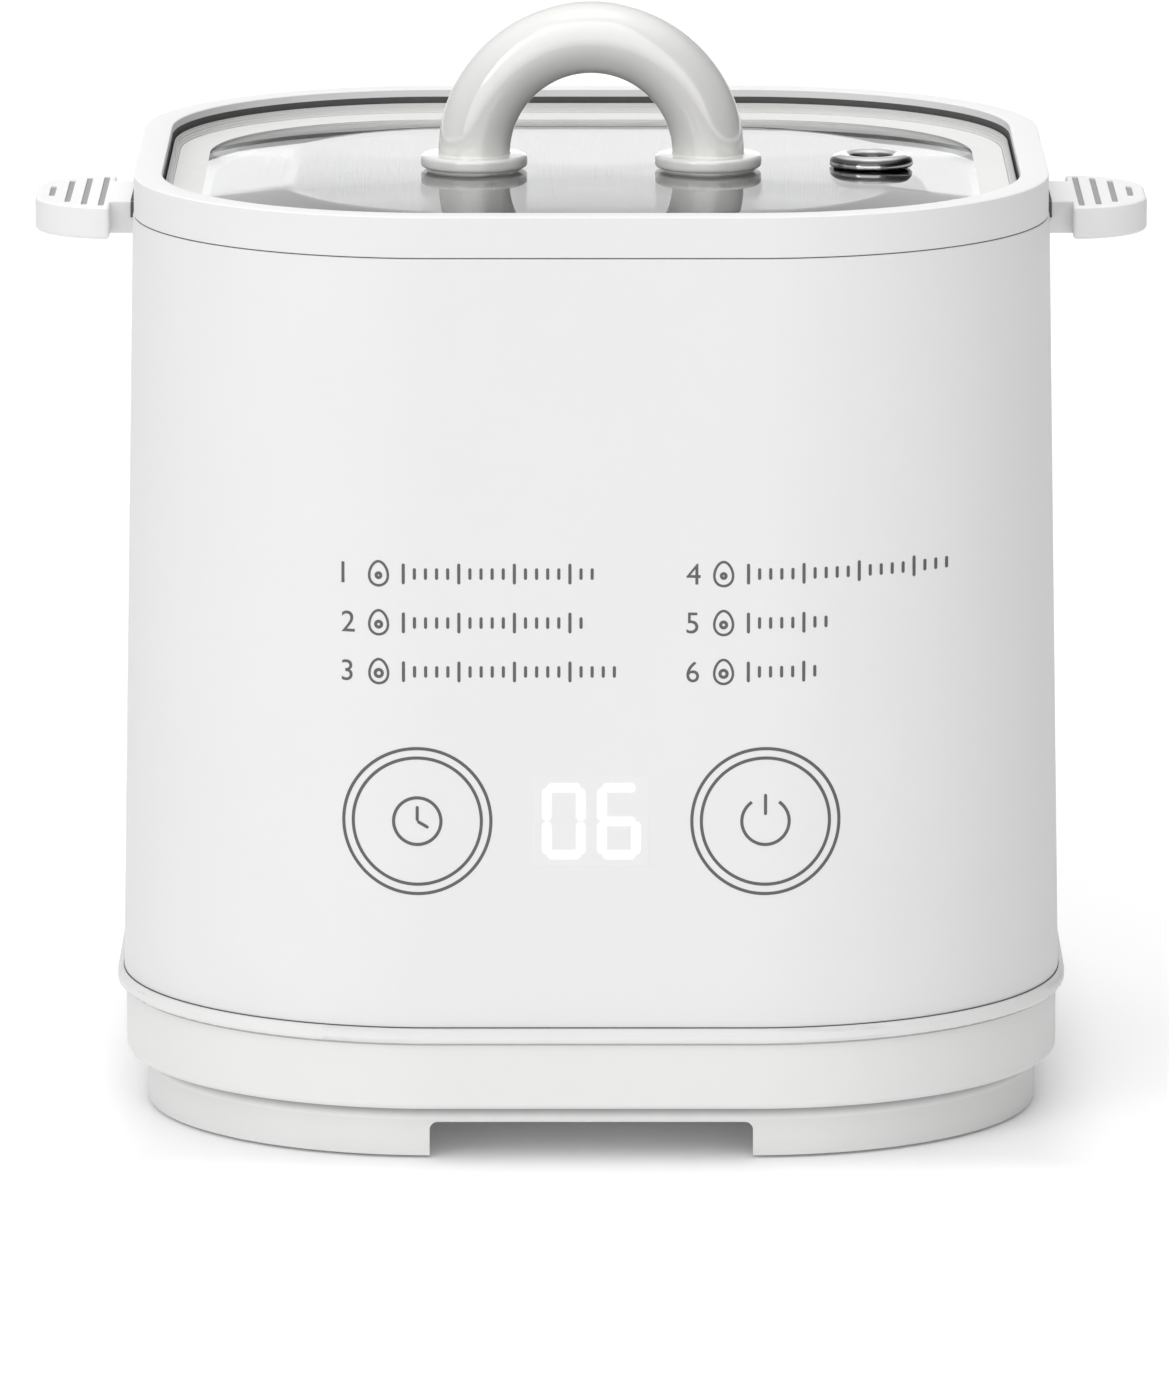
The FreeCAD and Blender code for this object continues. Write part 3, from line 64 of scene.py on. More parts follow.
class NodeTree:
    """A small helper that adds and links shader nodes."""

    def __init__(self, tree: bpy.types.NodeTree) -> None:
        """Keep the node tree of a material or a world."""
        self.tree = tree

    def feed(self, node: Node, inputs: Inputs) -> None:
        """Link or set a node's inputs.

        Args:
            node: The node.
            inputs: A socket or a value for each input.
        """
        for key, term in inputs.items():
            if isinstance(term, Socket):
                self.tree.links.new(term, node.inputs[key])
            else:
                node.inputs[key].default_value = term

    def add(self, kind: str, inputs: Inputs, **settings: str) -> Node:
        """Add a node and set it up.

        Args:
            kind: The node's type name.
            inputs: A socket or a value for each input.
            **settings: Properties of the node.

        Returns:
            The new node.
        """
        node = self.tree.nodes.new(kind)
        for key, setting in settings.items():
            setattr(node, key, setting)
        self.feed(node, inputs)
        return node

    def place(self, space: str = "Object") -> Socket:
        """The named coordinates."""
        return self.add("ShaderNodeTexCoord", {}).outputs[space]

    def axes(self, space: str = "Object") -> list[Socket]:
        """The x, y and z of the named coordinates."""
        parts = self.add("ShaderNodeSeparateXYZ", {0: self.place(space)})
        return [parts.outputs[axis] for axis in "XYZ"]

    def sums(self, operation: str, *terms: Term) -> Socket:
        """Combine one or two sockets or numbers by a math node's operation."""
        return self.add("ShaderNodeMath", dict(enumerate(terms)), operation=operation).outputs[0]

    def product(self, *terms: Term) -> Socket:
        """Multiply terms from the left."""
        return reduce(lambda first, second: self.sums("MULTIPLY", first, second), terms)

    def blend(self, first: Term, second: Term, share: Socket) -> Socket:
        """Go from one value to another: first + share * (second - first)."""
        step = self.sums("SUBTRACT", second, first)
        return self.sums("ADD", first, self.sums("MULTIPLY", step, share))

    def ease(self, source: Socket, low: float, high: float, start: float, end: float) -> Socket:
        """Carry a value smoothly from start, at and below low, to end, at and above high."""
        inputs = {"Value": source, "From Min": low, "From Max": high, "To Min": start, "To Max": end}
        return self.add("ShaderNodeMapRange", inputs, interpolation_type="SMOOTHSTEP").outputs["Result"]

    def ramp(self, source: Socket, stops: list[tuple[float, Triple]], smooth: bool) -> Socket:
        """Turn a value into colours.

        Args:
            source: The value.
            stops: Values from 0 to 1 in rising order, each with its colour.
            smooth: Ease from one colour to the next.

        Returns:
            The colour's socket.
        """
        node = self.add("ShaderNodeValToRGB", {"Fac": source})
        node.color_ramp.interpolation = "EASE" if smooth else "LINEAR"
        elements = node.color_ramp.elements
        for value, _ in stops[1:-1]:
            elements.new(value)
        for element, (value, colour) in zip(elements, stops):
            element.position = value
            element.color = (*colour, 1.0)
        return node.outputs["Color"]

    def noise(self, grain: float, stretch: Triple, detail: float) -> Socket:
        """Cloudy noise on Object coordinates.

        Args:
            grain: Size of a cloud in millimetres.
            stretch: How many times longer a cloud is along each axis.
            detail: Octaves of finer noise.

        Returns:
            The noise's value socket.
        """
        scale = tuple(1.0 / (grain * MM * times) for times in stretch)
        spread = self.add("ShaderNodeMapping", {"Vector": self.place(), "Scale": scale}).outputs["Vector"]
        clouds = self.add("ShaderNodeTexNoise", {"Vector": spread, "Scale": 1.0, "Detail": detail})
        return clouds.outputs["Fac"]


NOISE_RANGE = (0.3, 0.7)  # Most of a noise's values lie between these
COLOUR_OCTAVES = 3.0  # Detail of the colour's noise
FINE_OCTAVES = 2.0  # Detail of the noises of gloss and relief
GLOSS_FINENESS = 3  # How many times finer the gloss drifts than the colour
EVEN = (1.0, 1.0, 1.0)
WHITE = (1.0, 1.0, 1.0)
BLACK = (0.0, 0.0, 0.0)


@dataclass(frozen=True)
class Finish:
    """A finish whose colour, gloss and relief drift a little over the surface."""

    name: str  # Name of the material
    colour: Triple  # Middle colour, linear
    drift: float = 0.02  # Share by which the colour drifts
    grain: float = 18.0  # Size of the drift in millimetres
    roughness: float = 0.35  # Middle roughness
    roughness_drift: float = 0.06  # Range of the roughness
    relief: float = 0.004  # Height of the fine relief in millimetres
    relief_grain: float = 0.7  # Size of the fine relief in millimetres
    stretch: Triple = EVEN  # How many times longer the grain is along each axis
    metallic: float = 0.0  # One for bare metal
    coat: float = 0.0  # Weight of a clear gloss coat
    coat_roughness: float = 0.1  # Roughness of that coat
    coat_index: float = 1.5  # Refractive index of that coat
    shine: float = 0.5  # Strength of the mirrored light on plain surfaces

    def material(self) -> bpy.types.Material:
        """Build the material once and find it again later.

        Returns:
            The material.
        """
        known = bpy.data.materials.get(self.name)
        if known:
            return known
        made = bpy.data.materials.new(self.name)
        made.use_nodes = True
        nodes = NodeTree(made.node_tree)
        nodes.feed(made.node_tree.nodes["Principled BSDF"], self.inputs(nodes))
        return made

    def inputs(self, nodes: NodeTree) -> Inputs:
        """Colour, gloss and relief for the principled shader.

        Args:
            nodes: The material's nodes.

        Returns:
            A socket or a value for each of the shader's inputs.
        """
        gloss = nodes.noise(self.grain / GLOSS_FINENESS, self.stretch, FINE_OCTAVES)
        low = self.roughness - self.roughness_drift / 2
        height = nodes.noise(self.relief_grain, self.stretch, FINE_OCTAVES)
        bump = nodes.add("ShaderNodeBump", {"Strength": 1.0, "Distance": self.relief * MM, "Height": height})
        return {
            "Base Color": self.tint(nodes, nodes.noise(self.grain, self.stretch, COLOUR_OCTAVES)),
            "Roughness": nodes.ease(gloss, *NOISE_RANGE, low, low + self.roughness_drift),
            "Normal": bump.outputs["Normal"],
            "Metallic": self.metallic,
            "Coat Weight": self.coat,
            "Coat Roughness": self.coat_roughness,
            "Coat IOR": self.coat_index,
            "Specular IOR Level": self.shine,
        }

    def tint(self, nodes: NodeTree, pattern: Socket) -> Socket:
        """Let the colour drift with a pattern.

        Args:
            nodes: The material's nodes.
            pattern: A value from 0 to 1.

        Returns:
            The drifting colour.
        """
        stops = []
        for value, side in zip(NOISE_RANGE, (-1.0, 1.0)):
            share = 1.0 + side * self.drift / 2
            stops.append((value, tuple(min(channel * share, 1.0) for channel in self.colour)))
        return nodes.ramp(pattern, stops, False)


@dataclass(frozen=True)
class ClearGlass(Finish):
    """Toughened glass, clear with a trace of green."""

    index: float = 1.5  # Refractive index

    def inputs(self, nodes: NodeTree) -> Inputs:
        """Let light through, with the finish's faint tint and smears."""
        return super().inputs(nodes) | {"Transmission Weight": 1.0, "IOR": self.index}


@dataclass(frozen=True)
class CircuitBoard(Finish):
    """Solder mask over rows of tracks."""

    tracks: float = 160.0  # Density of the tracks
    bends: float = 6.0  # How strongly they bend
    bend_density: float = 40.0  # Density of the bends

    def inputs(self, nodes: NodeTree) -> Inputs:
        """Draw paler tracks as bands that a coarse noise bends.

        Args:
            nodes: The material's nodes.

        Returns:
            A socket or a value for each of the shader's inputs.
        """
        waves = {"Vector": nodes.place(), "Scale": self.tracks, "Distortion": self.bends,
                 "Detail Scale": self.bend_density}
        bands = nodes.add("ShaderNodeTexWave", waves, bands_direction="X")
        return super().inputs(nodes) | {"Base Color": self.tint(nodes, bands.outputs["Fac"])}


@dataclass(frozen=True)
class GlowThroughWall(Finish):
    """Wall plastic lit from behind, where the mesh's glow attribute says how strongly."""

    glow: float = 0.5  # Strength of the light

    def inputs(self, nodes: NodeTree) -> Inputs:
        """Let the light fade out with the glow attribute.

        Args:
            nodes: The material's nodes.

        Returns:
            A socket or a value for each of the shader's inputs.
        """
        amount = nodes.add("ShaderNodeAttribute", {}, attribute_name="glow").outputs["Fac"]
        light = nodes.ramp(amount, [(0.0, BLACK), (1.0, WHITE)], True)
        return super().inputs(nodes) | {"Emission Color": light, "Emission Strength": self.glow}


@dataclass(frozen=True)
class HeightShade(Finish):
    """A finish painted brighter or darker at some heights, for painted light and shade."""

    # Pairs of a rising height in millimetres and the share of the finish's colour there
    stops: tuple[Pair, ...] = ()

    def inputs(self, nodes: NodeTree) -> Inputs:
        """Multiply the drifting colour by a ramp over the height on Object coordinates.

        Args:
            nodes: The material's nodes.

        Returns:
            A socket or a value for each of the shader's inputs.
        """
        plain = super().inputs(nodes)
        low, high = self.stops[0][0], self.stops[-1][0]
        rise = nodes.sums("DIVIDE", nodes.sums("SUBTRACT", nodes.axes()[2], low * MM), (high - low) * MM)
        stops = [((height - low) / (high - low), (share, share, share)) for height, share in self.stops]
        factors = {0: plain["Base Color"], 1: nodes.ramp(rise, stops, True)}
        shaded = nodes.add("ShaderNodeVectorMath", factors, operation="MULTIPLY")
        return plain | {"Base Color": shaded.outputs[0]}


@dataclass(frozen=True)
class LitPaper(Finish):
    """White paper that gives off a little light by itself, less of it under the cooker as a painted shadow.
    """

    glow: Pair = (0.055, 0.2)  # Strength of that light, under the cooker and in the open
    # Half widths in metres of the square with the lower strength, the painted shadow, and of the one where it
    # is full
    shaded: Pair = (0.084, 0.106)

    def inputs(self, nodes: NodeTree) -> Inputs:
        """Raise the light with the larger of both distances from the middle.

        Args:
            nodes: The material's nodes.

        Returns:
            A socket or a value for each of the shader's inputs.
        """
        sides = [nodes.sums("ABSOLUTE", axis) for axis in nodes.axes()[:2]]
        light = nodes.ease(nodes.sums("MAXIMUM", *sides), *self.shaded, *self.glow)
        return super().inputs(nodes) | {"Emission Color": (*WHITE, 1.0), "Emission Strength": light}


ALONG_X = (14.0, 1.0, 1.0)
ALONG_Z = (1.0, 1.0, 30.0)
WHITE_SHELL = Finish("white_shell_moulding", (0.75, 0.75, 0.75), 0.012, 30.0, 0.5, 0.05, shine=0.12)
# Painted light: the collar's top face is painted brighter than its sides, for the light falling on it from
# above.
COLLAR_WHITE_LIT_TOP = HeightShade("white_collar_painted_top_light", (0.96, 0.96, 0.96), 0.012, 30.0, 0.5, 0.05, shine=0.12,
                           stops=((178.0, 0.78), (185.9, 0.78), (186.15, 1.0)))
# Painted light: the ears' top faces are painted brighter than their sides, for the light falling on them from
# above.
EAR_WHITE_LIT_TOP = HeightShade("white_ear_painted_top_light", (0.96, 0.96, 0.96), 0.012, 30.0, 0.5, 0.05, shine=0.12,
                        stops=((171.0, 0.78), (177.3, 0.78), (177.6, 1.0)))
WHITE_BASE = Finish("white_base_moulding", (0.745, 0.745, 0.74), 0.015, 24.0, 0.48, 0.06, 0.005, shine=0.15)
WARM_WHITE = Finish("warm_white_gloss", (0.84, 0.835, 0.815), 0.015, 14.0, 0.24, 0.04, 0.001, 1.2, coat=1.0,
                    coat_roughness=0.05, coat_index=1.9)
PALE_GLASS = ClearGlass("clear_lid_glass", (0.965, 0.985, 0.975), 0.01, 40.0, 0.012, 0.012, 0.0004, 6.0)
# Painted shade: the rim's steps are painted darker towards its top and paler down towards the glass.
RIM_ENAMEL_SHADED = HeightShade("pale_rim_painted_shade", (0.78, 0.78, 0.77), 0.02, 6.0, 0.5, 0.06, 0.0005, 6.0, shine=0.2,
                         stops=((181.2, 1.0), (183.0, 0.82)))
BEAD_WHITE = Finish("glass_bead_white", (0.88, 0.88, 0.87), 0.02, 5.0, 0.6, 0.06, 0.0005, 6.0, shine=0.1)
# Painted reflection: dark and bright bands over the height of the vent's ring stand in for the studio's
# reflections in the chrome.
CHROME_PAINTED_BANDS = HeightShade("chrome_painted_reflection_bands", (0.8, 0.8, 0.81), 0.03, 3.0, 0.06, 0.03, 0.0005, 0.8,
                     metallic=1.0,
                     stops=((182.0, 0.12), (182.5, 0.14), (182.8, 0.78), (183.1, 0.78), (183.45, 0.12),
                            (184.1, 0.14), (184.5, 0.95), (184.8, 1.0)))
CHAMBER_STEEL = Finish("drawn_chamber_steel", (0.58, 0.585, 0.59), 0.04, 0.3, 0.3, 0.06, 0.0006, 0.25,
                       ALONG_Z, 1.0)
CAST_ALLOY = Finish("cast_alloy", (0.58, 0.59, 0.60), 0.1, 1.5, 0.5, 0.15, 0.05, 0.6, metallic=1.0)
ZINC_STEEL = Finish("zinc_plated_steel", (0.56, 0.57, 0.6), 0.08, 1.0, 0.32, 0.12, 0.004, 0.4, metallic=1.0)
SEAL_SILICONE = Finish("seal_silicone", (0.66, 0.66, 0.65), 0.05, 4.0, 0.55, 0.1, 0.01, 0.8)
FOOT_RUBBER = Finish("foot_rubber", (0.075, 0.075, 0.078), 0.2, 1.4, 0.75, 0.15, 0.03, 0.5)
# Painted shade: a dark grey for thin rings and strips set where the shade of a gap or seam falls.
SEAM_SHADE = Finish("seam_painted_shade_grey", (0.085, 0.085, 0.085), 0.1, 3.0, 0.8, 0.1, 0.01, 0.6)
# Painted shade: the grey of the floors laid in the ears' grip grooves, where their shade falls.
GROOVE_SHADE_GREY = Finish("groove_painted_shade_grey", (0.36, 0.36, 0.355), 0.08, 3.0, 0.6, 0.1, 0.01, 0.6)
# Painted shade: the grey of the thin ring under the base's lip, where its shadow falls.
LIP_SHADE_GREY = Finish("lip_painted_shade_grey", (0.42, 0.42, 0.415), 0.06, 3.0, 0.7, 0.1, 0.008, 0.6)
# Painted shadow: the skirt's ring darkens upwards into the shade under the base's band.
SKIRT_SHADE = HeightShade("skirt_painted_shade", (0.78, 0.78, 0.775), 0.04, 4.0, 0.6, 0.08, 0.006, 0.6,
                          stops=((7.9, 1.0), (10.2, 0.385)))
BOARD_GREEN = CircuitBoard("board_green", (0.045, 0.22, 0.10), 0.5, 4.0, 0.35, 0.1, 0.01, 0.6)
BLACK_PLASTIC = Finish("black_moulding", (0.022, 0.022, 0.024), 0.2, 3.0, 0.5, 0.12, 0.02, 0.4)
WOUND_COPPER = Finish("wound_copper", (0.38, 0.2, 0.085), 0.25, 0.6, 0.38, 0.1, 0.08, 0.4, ALONG_X)
SLEEVE_BLUE = Finish("shrunk_sleeve_blue", (0.05, 0.085, 0.22), 0.1, 2.0, 0.4, 0.1, 0.008, 0.5)
GREY_PLASTIC = Finish("grey_moulding", (0.47, 0.47, 0.475), 0.04, 10.0, 0.5, 0.08, 0.012, 0.5)
PIN_BRASS = Finish("bright_pin_brass", (0.74, 0.6, 0.33), 0.06, 0.8, 0.25, 0.1, 0.003, 0.3, metallic=1.0)
PRINT_GREY = Finish("printed_grey", (0.095, 0.095, 0.095), 0.08, 1.0, 0.5, 0.1, 0.002, 0.3)
DIGIT_LIGHT = GlowThroughWall("digit_light", WHITE_SHELL.colour, 0.012, 30.0, 0.32, 0.05, glow=0.55)
FLOOR_PAPER = LitPaper("floor_paper", (0.93, 0.93, 0.93), 0.004, 60.0, 0.9, 0.05, 0.002, 2.0)

NODE_FINISHES: dict[Finish, tuple[str, ...]] = {
    WHITE_SHELL: ("outer_shell",),
    COLLAR_WHITE_LIT_TOP: ("top_collar",),
    EAR_WHITE_LIT_TOP: ("left_ear", "right_ear"),
    WHITE_BASE: ("base_band", "bottom_cover"),
    WARM_WHITE: ("lid_handle", "left_collar", "right_collar", "tray_knob"),
    PALE_GLASS: ("lid_glass",),
    RIM_ENAMEL_SHADED: ("lid_rim",),
    CHROME_PAINTED_BANDS: ("vent_eyelet",),
    CHAMBER_STEEL: ("chamber_wall", "chamber_flange", "boiling_plate", "heat_shield", "heating_element",
                    "tray_post"),
    CAST_ALLOY: ("heating_plate", "thermistor"),
    ZINC_STEEL: ("ear_plates", "ear_screws", "base_screws", "deck_screws", "heater_posts", "control_screws",
                 "handle_screws", "vent_nut"),
    SEAL_SILICONE: ("chamber_seal", "handle_washers"),
    FOOT_RUBBER: ("rubber_feet", "key_pads"),
    BOARD_GREEN: ("power_board", "control_board"),
    BLACK_PLASTIC: ("relay", "display_module", "power_inlet"),
    WOUND_COPPER: ("transformer",),
    SLEEVE_BLUE: ("thermal_fuse", "filter_capacitor"),
    GREY_PLASTIC: ("board_posts", "egg_tray", "tray_legs"),
    PIN_BRASS: ("inlet_pins",),
}


def dress_nodes() -> None:
    """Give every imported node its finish."""
    for finish, names in NODE_FINISHES.items():
        for name in names:
            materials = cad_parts[name].data.materials
            materials.clear()
            materials.append(finish.material())
    undressed = set(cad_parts) - {name for names in NODE_FINISHES.values() for name in names}
    if undressed:
        raise ValueError(f"no finish for {sorted(undressed)}")


def grid_faces(rows: int, columns: int, loop_rows: bool = False, loop_columns: bool = False) -> Array:
    """Corner numbers of the quads of a grid of points.

    Args:
        rows: Points along the first parameter.
        columns: Points along the second parameter.
        loop_rows: Join the last row to the first.
        loop_columns: Join the last column to the first.

    Returns:
        One row of four corner numbers for each quad.
    """
    row = np.arange(rows if loop_rows else rows - 1)[:, None]
    column = np.arange(columns if loop_columns else columns - 1)[None, :]
    next_row = (row + 1) % rows
    next_column = (column + 1) % columns
    corners = (row * columns + column, row * columns + next_column,
               next_row * columns + next_column, next_row * columns + column)
    return np.stack(corners, axis=-1).reshape(-1, 4)


def arc(centre: Pair, radius: float, start: float, end: float, steps: int = 6) -> Array:
    """Pairs along a circular arc: centre plus radius times cosine and sine of an even run of degrees."""
    angle = np.radians(np.linspace(start, end, steps))
    return np.stack((centre[0] + radius * np.cos(angle), centre[1] + radius * np.sin(angle)), axis=-1)


def raised(flat: Array, height: float | Array) -> Array:
    """Give flat pairs a height, one for all or one for each."""
    return np.concatenate((flat, np.broadcast_to(height, flat.shape[:-1])[..., None]), axis=-1)


def placed(name: str, contents: bpy.types.ID) -> bpy.types.Object:
    """Put a mesh, a lamp or a camera into the scene.

    Args:
        name: Name of the object.
        contents: The mesh, lamp or camera.

    Returns:
        The object.
    """
    made = bpy.data.objects.new(name, contents)
    bpy.context.scene.collection.objects.link(made)
    return made


@dataclass
class Patch:
    """Points and faces that go into one mesh."""

    points: Array  # Points in millimetres, one row each
    faces: Array  # Corner numbers, one row for each quad
    glow: Array | None = None  # Optional number for each point

    @staticmethod
    def closed(points: Array) -> "Patch":
        """Quads over a grid of points that closes on itself both ways."""
        return Patch(points.reshape(-1, 3), grid_faces(*points.shape[:2], True, True))

    @staticmethod
    def joined(patches: list["Patch"]) -> "Patch":
        """Put patches without glow into one, with their corner numbers moved along."""
        starts = np.cumsum([0] + [len(patch.points) for patch in patches[:-1]])
        return Patch(np.concatenate([patch.points for patch in patches]),
                     np.concatenate([patch.faces + start for patch, start in zip(patches, starts)]))

    def piece(self, name: str, finish: Finish, body: Body, crease: float = 40.0) -> bpy.types.Object:
        """Make the mesh object and let it ride.

        Args:
            name: Name of the piece.
            finish: Its finish.
            body: The body that it rides on.
            crease: Edges sharper than this angle in degrees stay sharp.

        Returns:
            The object.
        """
        mesh = bpy.data.meshes.new(name)
        mesh.from_pydata((self.points * MM).tolist(), [], self.faces.tolist())
        mesh.validate()
        mesh.shade_smooth()
        mesh.set_sharp_from_angle(angle=math.radians(crease))
        if self.glow is not None:
            layer = mesh.attributes.new("glow", "FLOAT", "POINT")
            layer.data.foreach_set("value", self.glow.astype(np.float32))
        mesh.materials.append(finish.material())
        made = placed(name, mesh)
        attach(made, body.value)
        LOG.info("%s: %d points, on %s", name, len(self.points), body.value)
        return made


Place = Callable[[Array, float], Array]


def ribbon(path: Array, width: float | Array, place: Place, top: float, bottom: float,
           loop: bool = False) -> Patch:
    """A thin closed strip along a flat path.

    Each path point goes half a width to its left and right, at the strip's top and again at its bottom.

    Args:
        path: Pairs in the flat.
        width: Width of the strip, one number or one for each point.
        place: Puts flat pairs, at a height over the flat, into space.
        top: Height of the upper face.
        bottom: Height of the lower face.
        loop: Join the end to the start.

    Returns:
        The strip's patch.
    """
    if loop:
        along = np.roll(path, -1, axis=0) - np.roll(path, 1, axis=0)
    else:
        along = np.gradient(path, axis=0)
    along = along / np.linalg.norm(along, axis=1, keepdims=True)
    side = np.stack((-along[:, 1], along[:, 0]), axis=-1) * np.reshape(width, (-1, 1)) / 2
    left, right = path + side, path - side
    ring = np.stack((place(left, top), place(left, bottom), place(right, bottom), place(right, top)), axis=1)
    faces = grid_faces(len(path), 4, loop, True)
    if not loop:
        last = 4 * (len(path) - 1)
        faces = np.concatenate((faces, ((3, 2, 1, 0), (last, last + 1, last + 2, last + 3))))
    return Patch(ring.reshape(-1, 3), faces[:, ::-1])


STROKE_STEPS = 15  # Points along a stroke
STROKE_TIP = 0.002  # Share of its length that is cut off at each end
LEAST_SQUARE = 1e-5  # Least square of its half width


def round_ended(start: Pair, end: Pair, width: float) -> tuple[Array, Array]:
    """A straight path with the widths that give it half-round ends.

    Half the width is the root of (radius squared - (radius - way to the end) squared).

    Args:
        start: One end.
        end: The other end.
        width: Full width.

    Returns:
        The path and its widths.
    """
    share = 0.5 - 0.5 * np.cos(np.linspace(0, np.pi, STROKE_STEPS))
    share = np.clip(share, STROKE_TIP, 1 - STROKE_TIP)
    path = np.array(start) * (1 - share[:, None]) + np.array(end) * share[:, None]
    to_end = np.minimum(share, 1 - share) * math.dist(start, end)
    radius = width / 2
    square = radius ** 2 - np.maximum(radius - to_end, 0) ** 2
    return path, 2 * np.sqrt(np.maximum(square, LEAST_SQUARE))


@dataclass(frozen=True)
class RoundedPlan:
    """The cooker's plan: four straight sides joined by circular corners round shared centres."""

    corner_centre: float = 31.0  # Half of each straight side
    corner_steps: int = 40  # Points on each corner
    # Places along a straight side that get a line of points
    side_marks: tuple[float, ...] = (-22.0, -13.2, -6.0, 0.0, 6.0, 13.2, 22.0)

    def rails(self) -> tuple[Array, Array]:
        """Base points and outward directions round the plan, anticlockwise from the right side.

        On a corner the base rests at the corner's centre while the direction turns through a right angle.
        Along a side the base walks from one centre to the next while the direction rests.

        Returns:
            The bases and the directions, one row for each point.
        """
        centres = self.corner_centre * np.array(((1, 1), (-1, 1), (-1, -1), (1, -1)))
        share = (1 + np.array(self.side_marks) / self.corner_centre)[None, :, None] / 2
        following = np.roll(centres, -1, axis=0)
        walk = centres[:, None] * (1 - share) + following[:, None] * share
        rest = np.repeat(centres[:, None], self.corner_steps, axis=1)
        turn = 90.0 * np.arange(4)[:, None]
        corner_angle = turn + np.linspace(0, 90, self.corner_steps)[None]
        side_angle = np.repeat(turn + 90.0, len(self.side_marks), axis=1)
        angle = np.radians(np.concatenate((corner_angle, side_angle), axis=1)).reshape(-1)
        base = np.concatenate((rest, walk), axis=1).reshape(-1, 2)
        return base, np.stack((np.cos(angle), np.sin(angle)), axis=-1)

    def gauge(self, x: Array, y: Array, half: float) -> Array:
        """How far out a place lies: 0 in the middle and 1 on the outline of the given half width.

        Towards a side it is the larger coordinate over the half width. Towards a corner it is the scale at
        which the corner's circle passes through the place, the positive root of a quadratic.

        Args:
            x: Places along x.
            y: Places along y.
            half: Half width of the outline.

        Returns:
            One number for each place.
        """
        across, along = np.abs(x), np.abs(y)
        large, small = np.maximum(across, along), np.minimum(across, along)
        centre, radius = self.corner_centre, half - self.corner_centre
        lead = radius ** 2 - 2 * centre ** 2
        total = centre * (across + along)
        corner = (np.sqrt(total ** 2 + lead * (x ** 2 + y ** 2)) - total) / lead
        return np.where(small * half <= large * centre, large / half, corner)

    def sweep(self, profile: Array) -> Patch:
        """Carry a closed profile round the plan.

        Each point is base + (half width - corner centre) times direction, at the profile's height.

        Args:
            profile: Pairs of half width and height, upwards on the outside.

        Returns:
            The ring's patch.
        """
        base, direction = self.rails()
        reach = (profile[:, 0] - self.corner_centre)[:, None, None]
        return Patch.closed(raised(base[None] + reach * direction[None], profile[:, 1:]))


def lathe(profile: Array, x: float, y: float, steps: int = 72) -> Patch:
    """Turn a closed profile about an upright axis: x + r cos a, y + r sin a, height.

    Args:
        profile: Pairs of radius and height, upwards on the outside.
        x: Place of the axis.
        y: Place of the axis.
        steps: Points round the turn.

    Returns:
        The turned patch.
    """
    angle = np.linspace(0, 2 * np.pi, steps, endpoint=False)[None, :]
    radius = profile[:, :1]
    flat = np.stack((x + radius * np.cos(angle), y + radius * np.sin(angle)), axis=-1)
    return Patch.closed(raised(flat, profile[:, 1:]))


@dataclass(frozen=True)
class Gasket:
    """Thin dark ring that paints the shade line between two mouldings."""

    name: str  # Name of the piece
    finish: Finish  # Its finish
    half: float  # Half width of its outer face
    low: float  # Its lower edge
    high: float  # Its upper edge
    depth: float = 0.8  # How far it reaches inwards

    def build(self, plan: RoundedPlan) -> None:
        """Carry its square section round the plan.

        Args:
            plan: The cooker's plan.
        """
        outer, inner = self.half, self.half - self.depth
        profile = np.array(((outer, self.low), (outer, self.high), (inner, self.high), (inner, self.low)))
        made = plan.sweep(profile).piece(self.name, self.finish, Body.HOUSING)


